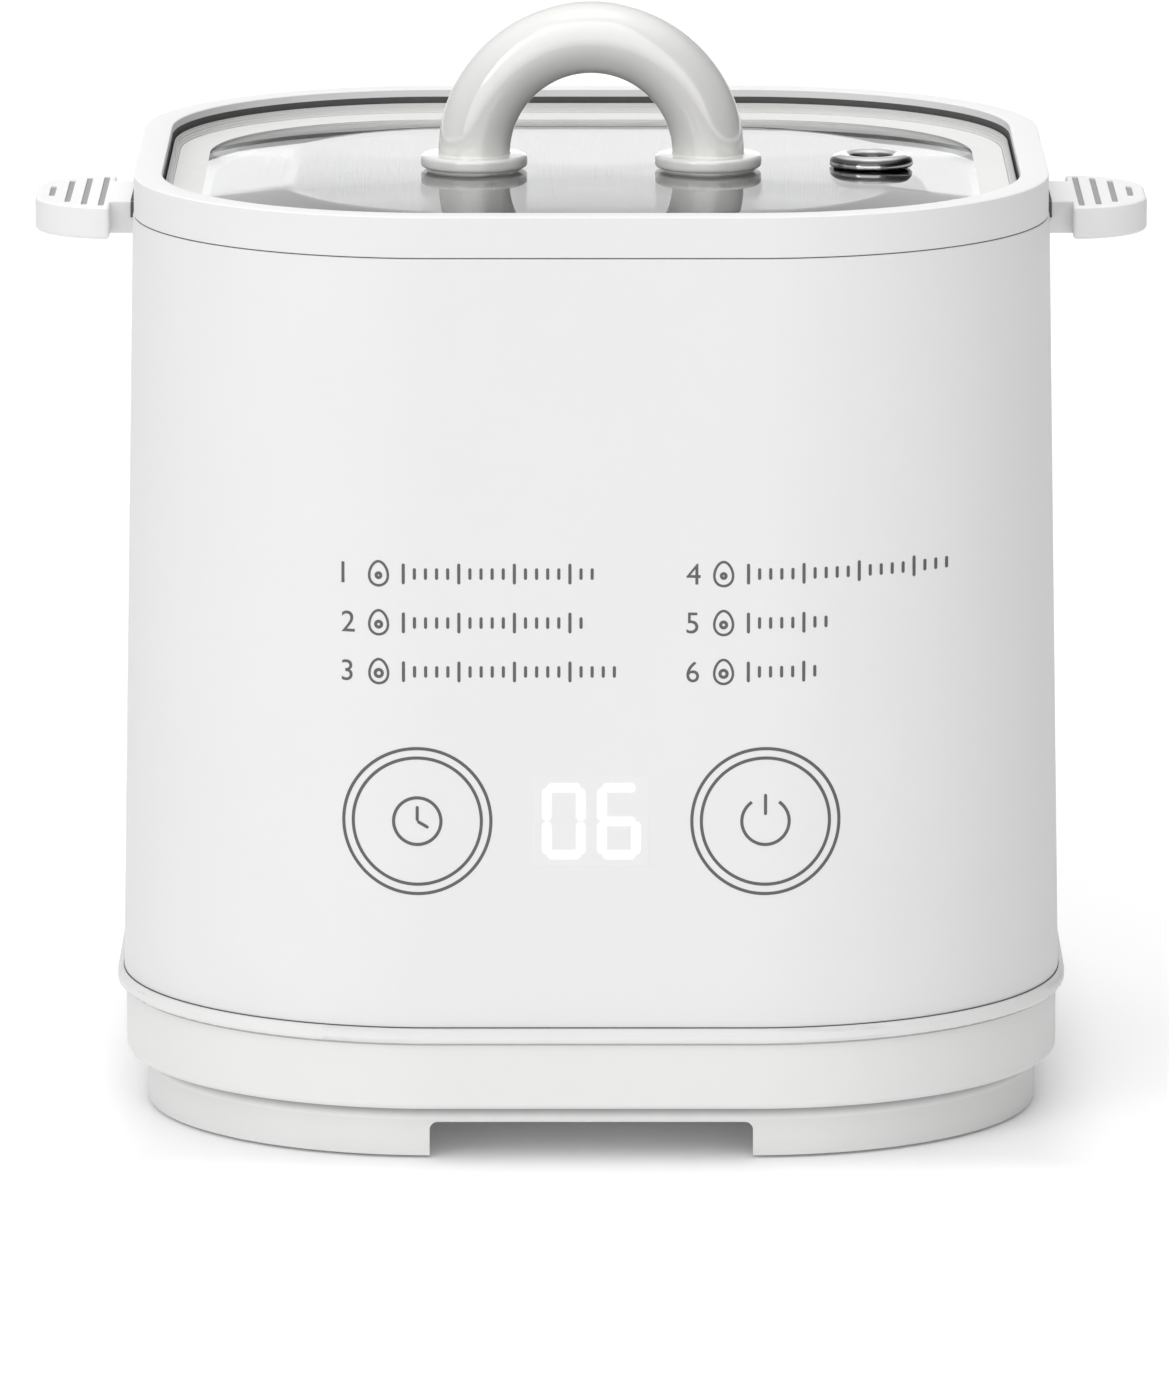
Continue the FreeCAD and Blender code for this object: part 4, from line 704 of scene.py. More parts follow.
@dataclass
class Shell:
    """Housing wall, collar on top of it and dark rings that paint the shade lines between the mouldings."""

    plan: RoundedPlan  # The plan of all its rings
    bottom_half: float = 93.1  # Half width at the base line
    top_half: float = 90.4  # Half width at the seam
    base_line: float = 27.0  # Lower end of the wall
    seam: float = 178.0  # Upper end of the wall
    wall: float = 2.5  # Thickness of the wall
    # Heights over the window that get a ring of points
    wall_rows: tuple[float, ...] = (70.0, 90.0, 110.0, 130.0, 150.0, 170.0)
    edge: float = 0.3  # Rounding of the wall's ends
    window_half: float = 13.2  # Half length of the inlet's window
    window: Pair = (38.3, 53.7)  # Lower and upper edge of that window
    collar_half: float = 90.2  # Half width of the collar
    collar_foot: Pair = (0.35, 0.3)  # How far the collar's lower edge is cut back, and over what height
    collar_top: float = 186.2  # Top of the collar
    opening_half: float = 84.6  # Half width of the lid's recess
    collar_round: float = 0.25  # Rounding of the collar's top edges
    ledge: Pair = (174.4, 176.4)  # Bottom and top of the lid's ledge
    mouth_half: float = 76.0  # Half width of the chamber's mouth
    sleeve_half: float = 87.6  # Half width of the collar's sleeve
    # Dark rings painting the shade at the seam, the base, under the base's lip and band, and in the lid's
    # seat
    gaskets: tuple[Gasket, ...] = (
        Gasket("seam_shade_line", SEAM_SHADE, 90.08, 177.8, 178.2),
        Gasket("base_shade_line", SEAM_SHADE, 93.22, 26.95, 27.2),
        Gasket("lip_shade_line", LIP_SHADE_GREY, 92.9, 23.55, 24.0),
        Gasket("skirt_shade_band", SKIRT_SHADE, 88.62, 7.8, 10.6),
        Gasket("lid_seat_shade_ring", SEAM_SHADE, 84.9, 181.5, 184.65, 0.35),
    )

    def half_at(self, height: Array) -> Array:
        """Half width of the leaning wall: a straight run from the base line's to the seam's."""
        share = (height - self.base_line) / (self.seam - self.base_line)
        return self.bottom_half + share * (self.top_half - self.bottom_half)

    def build_wall(self) -> None:
        """Lean the wall in towards the seam and leave the inlet's window open at the back."""
        foot = arc((self.bottom_half - self.edge, self.base_line + self.edge), self.edge, -90, 0, steps=4)
        head = arc((self.top_half - self.edge, self.seam - self.edge), self.edge, 0, 90, steps=4)
        heights = np.array((*self.window, *self.wall_rows))
        outside = np.stack((self.half_at(heights), heights), axis=-1)
        inner_top = ((self.top_half - self.wall, self.seam),)
        inner_window = outside[1::-1] - (self.wall, 0.0)
        inner_foot = ((self.bottom_half - self.wall, self.base_line),)
        ring = self.plan.sweep(np.concatenate((foot, outside, head, inner_top, inner_window, inner_foot)))
        middle = ring.points[ring.faces].mean(axis=1)
        at_back = (middle[:, 1] > 0) & (np.abs(middle[:, 0]) < self.window_half)
        beside = (middle[:, 2] > self.window[0]) & (middle[:, 2] < self.window[1])
        ring.faces = ring.faces[~(at_back & beside)]
        made = ring.piece("housing_wall", WHITE_SHELL, Body.HOUSING)
        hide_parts("outer_shell")

    def build_collar(self) -> None:
        """Ring with soft top edges, a recess for the lid, the lid's ledge and a sleeve inside the wall."""
        soft = self.collar_round
        back, rise = self.collar_foot
        foot = ((self.collar_half - back, self.seam), (self.collar_half, self.seam + rise))
        outer = arc((self.collar_half - soft, self.collar_top - soft), soft, 0, 90)
        inner = arc((self.opening_half + soft, self.collar_top - soft), soft, 90, 180)
        low, high = self.ledge
        rest = ((self.opening_half, high), (self.mouth_half, high), (self.mouth_half, low),
                (self.sleeve_half, low), (self.sleeve_half, self.seam))
        ring = self.plan.sweep(np.concatenate((foot, outer, inner, rest)))
        # The collar's finish has its top face painted brighter, as painted light from above.
        made = ring.piece("collar_ring", COLLAR_WHITE_LIT_TOP, Body.HOUSING)
        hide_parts("top_collar")

    def build(self) -> None:
        """Make the wall, the collar and the dark rings of painted shade."""
        self.build_wall()
        self.build_collar()
        for shade_ring in self.gaskets:
            shade_ring.build(self.plan)


@dataclass
class Ear:
    """Grey floors of painted shade in an ear's grip grooves, and a dark strip of painted shadow at its root.
    """

    shell: Shell  # The wall that the ear is fixed to
    side: str  # Name of the side
    sign: float  # Minus one on the left
    top: float = 177.7  # Upper face of the ear
    bottom: float = 171.3  # Lower face of the ear
    neck_half: float = 13.5  # Half width of the ear's neck
    groove_start: float = 97.3  # First groove from the middle of the cooker
    groove_pitch: float = 3.4  # Distance between grooves
    groove_width: float = 1.1  # Width of a groove
    groove_count: int = 4  # Number of grooves
    groove_floor: Pair = (-0.3, -1.4)  # Upper and lower face of a groove's floor, from the ear's upper face
    groove_margin: float = 0.05  # How far that floor stays from the groove's end
    paddle: Pair = (95.5, 12.7)  # Where the paddle starts, and its reach beyond that
    reach: float = 19.5  # Half length of a groove at the paddle's start
    strip: Pair = (1.1, -0.6)  # Outer and inner face of the strip over the neck, from the wall
    strip_width: float = 0.5  # Width of that strip
    strip_round: float = 0.6  # Radius of its corners
    strip_margin: float = 0.1  # How far its middle lies beside the neck's sides and under its top

    def on_top(self, flat: Array, lift: float) -> Array:
        """Put pairs of x and y on the ear's upper face."""
        return raised(flat, self.top + lift)

    def on_wall(self, flat: Array, lift: float) -> Array:
        """Put pairs, along the wall and up, on the side wall."""
        x = self.sign * (self.shell.half_at(flat[..., 1]) + lift)
        return np.stack((x, self.sign * flat[..., 0], flat[..., 1]), axis=-1)

    def build_grooves(self) -> None:
        """Grey floors of painted shade in the grooves, shorter towards the round end: reach * root of (1 -
        share squared).
        """
        strips: list[Patch] = []
        for index in range(self.groove_count):
            x = self.groove_start + index * self.groove_pitch
            share = (x - self.paddle[0]) / self.paddle[1]
            half = self.reach * math.sqrt(1 - share ** 2) - self.groove_margin
            path, width = round_ended((self.sign * x, -half), (self.sign * x, half), self.groove_width)
            strips.append(ribbon(path, width, self.on_top, *self.groove_floor))
        made = Patch.joined(strips).piece(f"{self.side}_groove_shade_floors", GROOVE_SHADE_GREY, Body.HOUSING)

    def build_gasket(self) -> None:
        """Dark strip of painted shadow over the neck where it meets the wall."""
        soft = self.strip_round
        wide, high = self.neck_half + self.strip_margin, self.top - self.strip_margin
        low = (self.top + self.bottom) / 2
        corners = ((wide - soft, 0), (soft - wide, 90))
        bends = [arc((along, high - soft), soft, turn, turn + 90, steps=5) for along, turn in corners]
        path = np.concatenate((((wide, low),), *bends, ((-wide, low),)))
        strip = ribbon(path, self.strip_width, self.on_wall, *self.strip)
        made = strip.piece(f"{self.side}_ear_shade_strip", SEAM_SHADE, Body.HOUSING)

    def build(self) -> None:
        """Make the grooves' floors and the strip of painted shadow."""
        self.build_grooves()
        self.build_gasket()


@dataclass
class FrontPrint:
    """Marks printed on the front wall and digits that shine through it."""

    shell: Shell  # The wall that carries them
    lift: float = 0.04  # Height of the ink over the wall
    depth: float = 0.12  # How far a mark reaches into the wall
    line: float = 0.62  # Width of a printed line
    key_x: float = 33.8  # Touch key from the middle
    key_z: float = 68.0  # Height of the keys and the display
    ring_radii: Pair = (14.3, 12.45)  # Middle radii of a key's two rings
    sign_radius: float = 4.6  # Radius of a key's sign
    clock_hands: tuple[Pair, Pair] = ((0.0, 3.0), (2.2, -1.3))  # Tips of the clock's hands, from its middle
    standby_ring: Pair = (125.0, 415.0)  # First and last angle of the open ring
    standby_bar: Pair = (1.2, 5.4)  # Lower and upper end of the bar, from the sign's middle
    columns: Pair = (-48.4, 18.4)  # Left ends of the two columns of programmes
    rows: Triple = (116.6, 107.0, 97.4)  # Heights of the three rows
    spans: tuple[float, ...] = (49.0, 47.5, 54.0, 52.5, 29.0, 25.0)  # Length of each programme's scale
    cap: float = 4.1  # Height of a numeral
    egg_x: float = 7.2  # Middle of a programme's egg, from its left end
    egg_height: float = 4.715  # Height of that egg
    egg_girth: Pair = (0.38, 0.16)  # Half its width, and how much that narrows upwards, as shares
    yolk_drop: float = 0.08  # How far the yolk lies under the egg's middle, as a share of the height
    yolks: Triple = (0.45, 0.57, 0.69)  # Radius of the yolk's ring in each row
    thin: float = 0.8  # Width of the egg's line, as a share of the usual width
    scale_x: float = 12.0  # First tick of a scale, from the programme's left end
    tick_pitch: float = 2.15  # Distance between ticks
    tick_rises: Pair = (2.05, 1.148)  # Half length of a long and of a short tick
    tick_group: int = 5  # One tick in this many is long
    digit_x: Pair = (-5.35, 5.35)  # Middle of each display digit
    digit_half: float = 3.3  # Half width of a digit's upright segments
    digit_rise: float = 6.6  # Half height of a digit
    segment_half: float = 0.74  # Half width of a lit segment
    segment_fade: float = 0.9  # Width over which its light fades
    segment_gap: float = 1.0  # How far a segment stays from the corner of its digit
    sheet_half: Pair = (11.5, 9.0)  # Half width and half height of the sheet over both digits
    sheet_steps: tuple[int, int] = (140, 110)  # Points of that sheet, across and up
    sheet_lift: float = 0.02  # Its height over the wall

    def on_wall(self, flat: Array, lift: float | Array) -> Array:
        """Lay flat pairs of x and height on the front wall.

        The depth is minus (centre + root of ((half - centre) squared - (|x| - centre, if positive) squared)).

        Args:
            flat: Pairs of x and height.
            lift: Height over the wall.

        Returns:
            The points in space.
        """
        centre = self.shell.plan.corner_centre
        reach = self.shell.half_at(flat[..., 1]) - centre + lift
        beyond = np.maximum(np.abs(flat[..., 0]) - centre, 0)
        y = -(centre + np.sqrt(reach ** 2 - beyond ** 2))
        return np.stack((flat[..., 0], y, flat[..., 1]), axis=-1)

    def ink(self, path: Array, width: float | Array, loop: bool = False) -> Patch:
        """A printed line along a path of x and height pairs."""
        return ribbon(path, width, self.on_wall, self.lift, -self.depth, loop)

    def circle(self, x: float, z: float, radius: float) -> Patch:
        """A printed ring of the usual line width."""
        return self.ink(arc((x, z), radius, 0, 360, steps=97)[:-1], self.line, True)

    def stroke(self, x0: float, z0: float, x1: float, z1: float) -> Patch:
        """A short printed line with rounded ends."""
        return self.ink(*round_ended((x0, z0), (x1, z1), self.line))

    def egg(self, x: float, z: float, yolk: float) -> list[Patch]:
        """An egg's outline, an ellipse that narrows upwards, with a round yolk.

        Args:
            x: Its middle.
            z: Its middle.
            yolk: Radius of the yolk's ring.

        Returns:
            Both patches.
        """
        angle = np.linspace(0, 2 * np.pi, num=64, endpoint=False)
        half, narrowing = self.egg_girth
        girth = half * self.egg_height * (1 - narrowing * np.sin(angle))
        path = np.stack((x + girth * np.cos(angle), z + self.egg_height / 2 * np.sin(angle)), axis=-1)
        outline = self.ink(path, self.thin * self.line, True)
        return [outline, self.circle(x, z - self.yolk_drop * self.egg_height, yolk)]

    def build_programmes(self) -> None:
        """Six numbered programmes, each with an egg and a scale of ticks."""
        marks: list[Patch] = []
        long, short = self.tick_rises
        for index, span in enumerate(self.spans):
            column, row = divmod(index, len(self.rows))
            x, z = self.columns[column], self.rows[row]
            self.build_number(index + 1, x, z)
            marks += self.egg(x + self.egg_x, z, self.yolks[row])
            for tick, start in enumerate(np.arange(x + self.scale_x, x + span, self.tick_pitch)):
                rise = short if tick % self.tick_group else long
                marks.append(self.stroke(start, z - rise, start, z + rise))
        made = Patch.joined(marks).piece("programme_scales", PRINT_GREY, Body.HOUSING)

    def build_number(self, number: int, x: float, z: float) -> None:
        """A printed numeral: its flat outline is filled, laid on the wall and given the ink's thickness.

        Args:
            number: The number.
            x: Its left edge.
            z: Its middle.
        """
        name = f"programme_number_{number}"
        curve = bpy.data.curves.new(name, "FONT")
        curve.body = str(number)
        curve.resolution_u = 6
        writing = bpy.data.objects.new(name + "_outline", curve)
        mesh = bpy.data.meshes.new_from_object(writing)
        bpy.data.objects.remove(writing)
        bpy.data.curves.remove(curve)
        flat = np.empty(3 * len(mesh.vertices))
        mesh.vertices.foreach_get("co", flat)
        flat = flat.reshape(-1, 3)[:, :2]
        low, high = flat.min(axis=0), flat.max(axis=0)
        flat = (flat - (low[0], (low[1] + high[1]) / 2)) * self.cap / (high[1] - low[1]) + (x, z)
        mesh.vertices.foreach_set("co", (self.on_wall(flat, self.lift) * MM).reshape(-1))
        mesh.update()
        mesh.name = name
        mesh.materials.clear()
        mesh.materials.append(PRINT_GREY.material())
        made = placed(name, mesh)
        body = made.modifiers.new("ink", "SOLIDIFY")
        body.thickness = (self.lift + self.depth) * MM
        body.offset = -1.0
        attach(made, Body.HOUSING.value)
        LOG.info("%s: %d points, on %s", name, len(flat), Body.HOUSING.value)

    def clock(self, x: float, z: float) -> list[Patch]:
        """A clock's ring and its two hands."""
        hands = [self.stroke(x, z, x + across, z + up) for across, up in self.clock_hands]
        return [self.circle(x, z, self.sign_radius), *hands]

    def standby(self, x: float, z: float) -> list[Patch]:
        """An open ring with an upright bar in its gap."""
        ring = self.ink(arc((x, z), self.sign_radius, *self.standby_ring, steps=61), self.line)
        return [ring, self.stroke(x, z + self.standby_bar[0], x, z + self.standby_bar[1])]

    def build_keys(self) -> None:
        """Two double rings, each with a sign in its middle."""
        marks: list[Patch] = []
        for x, sign in ((-self.key_x, self.clock), (self.key_x, self.standby)):
            marks += [self.circle(x, self.key_z, radius) for radius in self.ring_radii]
            marks += sign(x, self.key_z)
        made = Patch.joined(marks).piece("key_rings", PRINT_GREY, Body.HOUSING)

    def segment_glow(self, flat: Array, start: Array, end: Array) -> Array:
        """How strongly one segment shines at each place: full on its line, falling off past its half width.

        Args:
            flat: Pairs of x and height.
            start: One end.
            end: The other end.

        Returns:
            A number from 0 to 1 for each place.
        """
        way = end - start
        share = np.clip(((flat - start) @ way) / (way @ way), 0, 1)
        distance = np.linalg.norm(flat - start - share[..., None] * way, axis=-1)
        return np.clip((self.segment_half + self.segment_fade / 2 - distance) / self.segment_fade, 0, 1)

    def build_display(self) -> None:
        """One thin sheet over both digits, lit where a segment lies behind it, its border in the wall."""
        wide, high, gap = self.digit_half, self.digit_rise, self.segment_gap
        inner, tall = wide - gap, high - gap
        segments = {"a": ((-inner, high), (inner, high)), "g": ((-inner, 0), (inner, 0)),
                    "d": ((-inner, -high), (inner, -high)),
                    "f": ((-wide, gap), (-wide, tall)), "b": ((wide, gap), (wide, tall)),
                    "e": ((-wide, -tall), (-wide, -gap)), "c": ((wide, -tall), (wide, -gap))}
        sides = zip(self.sheet_half, self.sheet_steps)
        x, z = np.meshgrid(*(np.linspace(-half, half, steps) for half, steps in sides))
        flat = np.stack((x, z + self.key_z), axis=-1)
        glow = np.zeros_like(x)
        for middle, names in zip(self.digit_x, ("abcdef", "acdefg")):
            for name in names:
                ends = np.array(segments[name]) + (middle, self.key_z)
                glow = np.maximum(glow, self.segment_glow(flat, *ends))
        lift = np.full_like(x, self.sheet_lift)
        lift[(0, -1), :] = -self.depth
        lift[:, (0, -1)] = -self.depth
        sheet = Patch(self.on_wall(flat, lift).reshape(-1, 3), grid_faces(*x.shape), glow.reshape(-1))
        made = sheet.piece("display_digits", DIGIT_LIGHT, Body.HOUSING, crease=80.0)

    def build(self) -> None:
        """Print the programmes and the keys and light the digits."""
        self.build_programmes()
        self.build_keys()
        self.build_display()


@dataclass
class Lid:
    """Crowned glass and its bead in a ribbed rim, turned discs under the handle and the polished vent."""

    plan: RoundedPlan  # The plan of the rim and the glass
    crown: float = 182.3  # Top of the glass in the middle
    bow: float = 0.35  # How much lower the slack middle would be at the edge
    drop: float = 1.35  # How much the border falls off below that
    border: float = 0.72  # Gauge where the sloping border starts
    bend: float = 0.003  # Width of the bend between the middle and the border
    glass_half: float = 82.1  # Half width of the glass
    glass_bottom: float = 177.6  # Underside of the glass
    glass_rows: int = 96  # Points along a spoke of the glass
    rim_half: float = 84.25  # Half width of the rim
    rim_top: float = 183.4  # Top of the rim
    rim_bottom: float = 176.6  # Bottom of the rim
    rim_round: float = 0.3  # Rounding of its upper outer edge
    crease: float = 25.0  # Edges of the rim and the bead sharper than this stay sharp, in degrees
    ribs: int = 4  # Fine steps from the rim's top down to the glass
    rib_walls: Pair = (0.45, 1.35)  # Thickness of the rim over the uppermost and under the lowest step
    rib_foot: float = 181.15  # Lower end of the steps
    rib_share: Pair = (0.15, 0.8)  # How far in and down a step's first face goes, as shares of the step
    seat_gap: float = 0.1  # Gap between the glass and the rim
    bead_half: float = 77.0  # Half width where the bead runs out on the glass
    bead: Pair = (180.6, 181.5)  # Lower and upper edge of the bead at the rim
    bead_sink: Pair = (0.05, 0.02)  # How far the bead reaches into the rim and into the glass
    bead_end: float = 0.03  # Its thickness where it runs out
    handle_x: float = 23.35  # Foot of the handle from the middle
    disc_radius: float = 10.7  # Radius of the disc under a foot
    disc: Pair = (182.7, 185.3)  # Lower and upper face of that disc
    disc_round: float = 0.8  # Rounding of its edges
    disc_bore: float = 2.4  # Radius of its bore
    disc_step: float = 1.2  # How much narrower its foot is
    disc_sink: float = 0.3  # How far that foot reaches into the glass
    throat: float = 0.4  # Rounding between the disc and the handle
    tube: float = 7.2  # Radius of the handle's round section
    vent: Pair = (56.0, 4.0)  # Place of the vent
    vent_ring: float = 6.0  # Middle radius of the vent's ring
    vent_half: Pair = (2.4, 2.0)  # Half width of the ring's section and its height over the widest place
    vent_belly: float = 0.9  # Height of that section under the widest place
    vent_steps: int = 28  # Points of that section
    vent_low: float = 181.9  # Underside of the vent's ring
    vent_bottom: float = 175.6  # Lower end of the vent's barrel
    barrel: float = 5.2  # Radius of that barrel

    def height(self, flat: Array) -> Array:
        """Top of the glass: crown - bow * gauge squared - drop * ramp.

        The ramp is 0 in the middle, bends as log(1 + exp) at the border and grows evenly to 1 at the edge.

        Args:
            flat: Pairs of x and y.

        Returns:
            One height for each pair.
        """
        out = self.plan.gauge(flat[..., 0], flat[..., 1], self.glass_half)
        ramp = self.bend * np.logaddexp(0, (out - self.border) / self.bend) / (1 - self.border)
        return self.crown - self.bow * out ** 2 - self.drop * ramp

    def build_glass(self) -> None:
        """Spread straight spokes from the vent's hole to the outline, crowned on top and flat below."""
        base, direction = self.plan.rails()
        outline = base + (self.glass_half - self.plan.corner_centre) * direction
        centre = np.array(self.vent)
        spoke = outline - centre
        hole = centre + self.barrel * spoke / np.linalg.norm(spoke, axis=1, keepdims=True)
        share = np.sin(np.linspace(0, np.pi / 2, self.glass_rows))[:, None, None]
        flat = hole * (1 - share) + outline * share
        rows = np.concatenate((raised(flat, self.height(flat))[::-1], raised(flat, self.glass_bottom)))
        made = Patch.closed(rows).piece("crowned_glass", PALE_GLASS, Body.LID)
        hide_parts("lid_glass")

    def build_rim(self) -> None:
        """Carry a section round the plan that steps down from its top to the glass in fine ribs."""
        soft = self.rim_round
        edge = arc((self.rim_half - soft, self.rim_top - soft), soft, 0, 90, steps=5)
        start = np.array((self.rim_half - self.rib_walls[0], self.rim_top))
        end = np.array((self.rim_half - self.rib_walls[1], self.rib_foot))
        tread = start + (end - start) * (np.arange(self.ribs) / self.ribs)[:, None]
        riser = tread + (end - start) / self.ribs * self.rib_share
        steps = np.stack((tread, riser), axis=1).reshape(-1, 2)
        seat = self.glass_half + self.seat_gap
        inside = (end, (end[0], self.bead[0]), (seat, self.bead[0]), (seat, self.rim_bottom))
        foot = ((self.rim_half, self.rim_bottom),)
        ring = self.plan.sweep(np.concatenate((foot, edge, steps, inside)))
        # Its finish paints the steps darker towards the top, as painted shade.
        made = ring.piece("ribbed_rim", RIM_ENAMEL_SHADED, Body.LID, self.crease)
        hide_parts("lid_rim")

    def build_bead(self) -> None:
        """Carry a flat wedge round the plan that leans on the rim and runs out on the glass."""
        foot, back = self.bead_half, self.rim_half - self.rib_walls[1] + self.bead_sink[0]
        glass = self.height(np.array(((foot, 0.0), (self.glass_half, 0.0)))) - self.bead_sink[1]
        low, high = self.bead
        profile = np.array(((back, low), (back, high), (foot, glass[0] + self.bead_end), (foot, glass[0]),
                            (self.glass_half, glass[1]), (self.glass_half + self.seat_gap, low)))
        made = self.plan.sweep(profile).piece("glass_bead", BEAD_WHITE, Body.LID, self.crease)

    def build_discs(self) -> None:
        """Turn a soft disc on a narrower foot, with a throat to the handle, for each end of the handle."""
        low, high = self.disc
        rim, soft, throat = self.disc_radius, self.disc_round, self.throat
        foot, sunk = rim - self.disc_step, self.crown - self.disc_sink
        profile = np.concatenate((
            ((self.disc_bore, sunk), (foot, sunk), (foot, low)),
            arc((rim - soft, low + soft), soft, -90, 0),
            arc((rim - soft, high - soft), soft, 0, 90),
            arc((self.tube + throat, high + throat), throat, -90, -180),
            ((self.disc_bore, high + throat),),
        ))
        for side, sign in (("left", -1.0), ("right", 1.0)):
            made = lathe(profile, sign * self.handle_x, 0.0).piece(f"{side}_foot_disc", WARM_WHITE, Body.LID)
            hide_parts(f"{side}_collar")

    def build_vent(self) -> None:
        """Turn an oval ring on a barrel with a steam hole through it."""
        wide, tall = self.vent_half
        angle = np.radians(np.linspace(-90, 180, self.vent_steps))
        rise = np.where(angle < 0, self.vent_belly, tall) * np.sin(angle)
        height = self.vent_low + self.vent_belly + rise
        ring = np.stack((self.vent_ring + wide * np.cos(angle), height), axis=-1)
        bore, low = self.vent_ring - wide, self.vent_bottom
        barrel = ((bore, low), (self.barrel, low), (self.barrel, self.vent_low))
        # The ring's finish paints dark and bright bands over its height as painted reflections.
        made = lathe(np.concatenate((ring, barrel)), *self.vent).piece("vent_ring", CHROME_PAINTED_BANDS, Body.LID)
        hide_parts("vent_eyelet")

    def build(self) -> None:
        """Make the glass, the rim, the bead, the discs and the vent."""
        self.build_glass()
        self.build_rim()
        self.build_bead()
        self.build_discs()
        self.build_vent()


# Where a brightness starts and stops to change along an axis, and its values before and after
Fade = tuple[float, float, float, float]


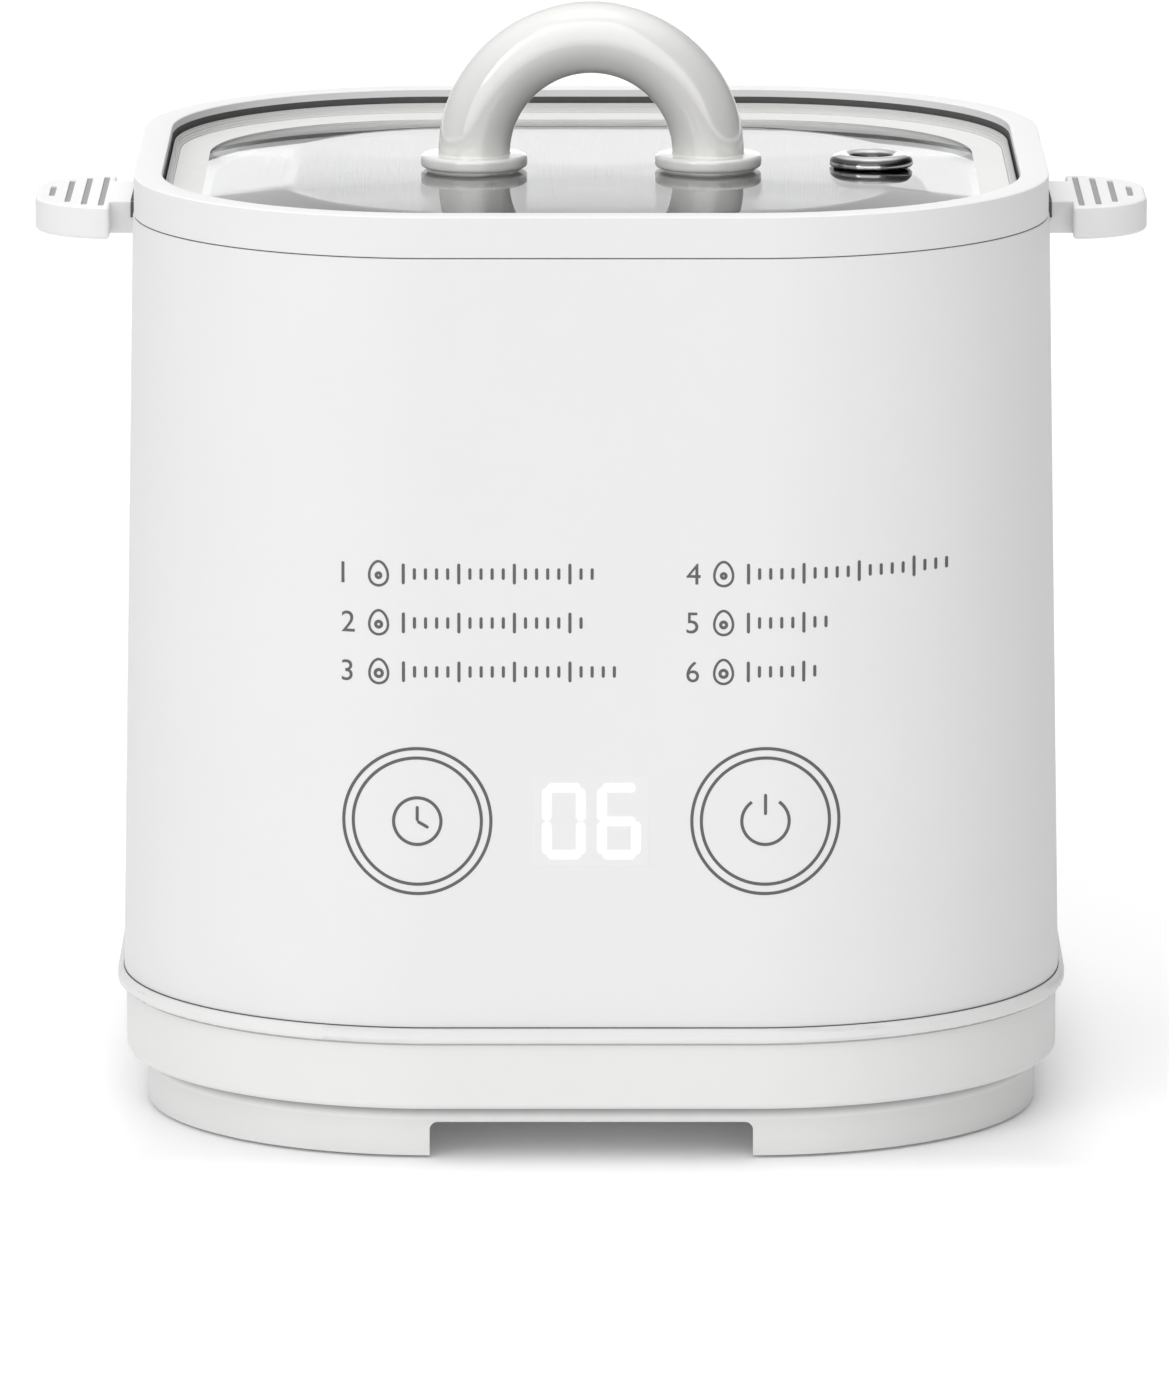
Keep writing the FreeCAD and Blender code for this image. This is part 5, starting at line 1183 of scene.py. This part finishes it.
@dataclass
class Studio:
    """Pale floor, soft light from all round and the camera."""

    eye: Triple = (-0.00133, -2.4493, 0.5464)  # Place of the camera in metres
    pitch: float = 10.86  # How far it looks down, in degrees
    focal_share: float = 8.99775  # Focal length over the picture's longer side
    sensor: float = 36.0  # Longer side of the sensor in millimetres
    far: float = 100.0  # How far the camera sees, in metres
    floor_half: float = 12.0  # Half width of the floor in metres
    floor_steps: int = 9  # Points along a side of the floor
    sky: Fade = (0.45, 1.0, 0.62, 1.45)  # Brightness over the height of the direction
    # What a small lamp straight above adds over the height, for the tops
    overhead: Fade = (0.93, 0.98, 0.0, 0.9)
    right: Fade = (0.15, 0.75, 1.0, 0.1)  # Share of the light that remains towards the right
    right_top: float = 0.8  # That share near the zenith
    right_rise: Fade = (0.5, 0.95, 0.0, 1.0)  # How that takes over with the height
    left: Fade = (-0.9, -0.2, 0.84, 1.0)  # Share of the light that remains towards the left
    # What a wide window in front adds over the depth, which the handle mirrors
    window: Fade = (-0.3, -0.2, 0.97, 0.0)
    window_left: Fade = (-0.95, -0.85, 0.0, 1.0)  # Its left edge, over x divided by the depth
    window_right: Fade = (0.4, 0.5, 1.0, 0.0)  # Its right edge, over the same
    window_top: Fade = (0.82, 0.88, 1.0, 0.0)  # Its upper edge, over the height
    # Brightness of the card straight behind the cooker over the height, which the lid mirrors
    card: Fade = (0.1446, 0.1507, 1.47, 0.92)
    card_rise: Fade = (0.1525, 0.157, 0.0, 0.12)  # How much brighter it is at its top again
    card_side: Fade = (0.04, 0.1, 0.0, 1.0)  # How the backdrop takes over to its left and right
    backdrop: float = 1.85  # Brightness of that backdrop
    behind: Fade = (0.93, 0.985, 0.0, 1.0)  # How card and backdrop take over from the sky, over the depth
    behind_top: Fade = (0.3, 0.45, 1.0, 0.0)  # Their upper edge, over the height
    softbox_place: Triple = (-1.0, -1.3, 1.1)  # Place of the soft light in metres
    softbox_aim: Triple = (0.0, 0.0, 0.12)  # Where it points
    softbox_size: Pair = (0.35, 0.9)  # Its width and height
    softbox_power: float = 1.8  # Its power in watts

    def build_floor(self) -> None:
        """A wide sheet of pale paper."""
        edge = np.linspace(-self.floor_half, self.floor_half, self.floor_steps)
        points = raised(np.stack(np.meshgrid(edge, edge), axis=-1), 0.0).reshape(-1, 3)
        mesh = bpy.data.meshes.new("floor")
        mesh.from_pydata(points.tolist(), [], grid_faces(self.floor_steps, self.floor_steps).tolist())
        mesh.materials.append(FLOOR_PAPER.material())
        floor = placed("floor", mesh)

    def build_surroundings(self) -> None:
        """Light that grows towards the zenith, held back on the right, with a window and a card behind."""
        world = bpy.data.worlds.new("soft_studio")
        world.use_nodes = True
        nodes = NodeTree(world.node_tree)
        x, y, z = nodes.axes("Generated")
        light = nodes.sums("ADD", nodes.ease(z, *self.sky), nodes.ease(z, *self.overhead))
        right = nodes.blend(nodes.ease(x, *self.right), self.right_top, nodes.ease(z, *self.right_rise))
        light = nodes.product(light, right, nodes.ease(x, *self.left))
        slant = nodes.sums("DIVIDE", x, nodes.sums("MULTIPLY", y, -1.0))
        window = nodes.product(nodes.ease(slant, *self.window_left), nodes.ease(slant, *self.window_right),
                               nodes.ease(z, *self.window_top), nodes.ease(y, *self.window))
        light = nodes.sums("ADD", light, window)
        card = nodes.sums("ADD", nodes.ease(z, *self.card), nodes.ease(z, *self.card_rise))
        aside = nodes.ease(nodes.sums("ABSOLUTE", x), *self.card_side)
        behind = nodes.product(nodes.ease(y, *self.behind), nodes.ease(z, *self.behind_top))
        light = nodes.blend(light, nodes.blend(card, self.backdrop, aside), behind)
        nodes.feed(world.node_tree.nodes["Background"], {"Color": (*WHITE, 1.0), "Strength": light})
        bpy.context.scene.world = world

    def build_softbox(self) -> None:
        """A tall soft light at the front left, for the gloss of the handle."""
        box = bpy.data.lights.new("softbox", "AREA")
        box.shape = "RECTANGLE"
        box.size, box.size_y = self.softbox_size
        box.energy = self.softbox_power
        lamp = placed("softbox", box)
        lamp.location = self.softbox_place
        away = Vector(self.softbox_place) - Vector(self.softbox_aim)
        lamp.rotation_euler = away.to_track_quat("Z", "Y").to_euler()
        lamp.visible_camera = False

    def build_camera(self) -> None:
        """A long lens at the photograph's height and slope."""
        lens = bpy.data.cameras.new("camera")
        lens.sensor_fit = "AUTO"
        lens.sensor_width = self.sensor
        lens.lens = self.focal_share * self.sensor
        lens.clip_end = self.far
        camera = placed("camera", lens)
        camera.location = self.eye
        camera.rotation_euler = (math.radians(90.0 - self.pitch), 0.0, 0.0)
        bpy.context.scene.camera = camera

    def build(self) -> None:
        """Set up the floor, the light, the camera and plain colour output."""
        self.build_floor()
        self.build_surroundings()
        self.build_softbox()
        self.build_camera()
        view = bpy.context.scene.view_settings
        view.view_transform = "Standard"
        view.look = "None"


def main() -> None:
    """Build the cooker's looks and the studio in order."""
    logging.basicConfig(level=logging.INFO, format="%(name)s: %(message)s")
    dress_nodes()
    shell = Shell(RoundedPlan())
    ears = (Ear(shell, "left", -1.0), Ear(shell, "right", 1.0))
    for assembly in (shell, *ears, FrontPrint(shell), Lid(shell.plan), Studio()):
        assembly.build()
        LOG.info("%s done", type(assembly).__name__)


if __name__ == "__main__":
    main()
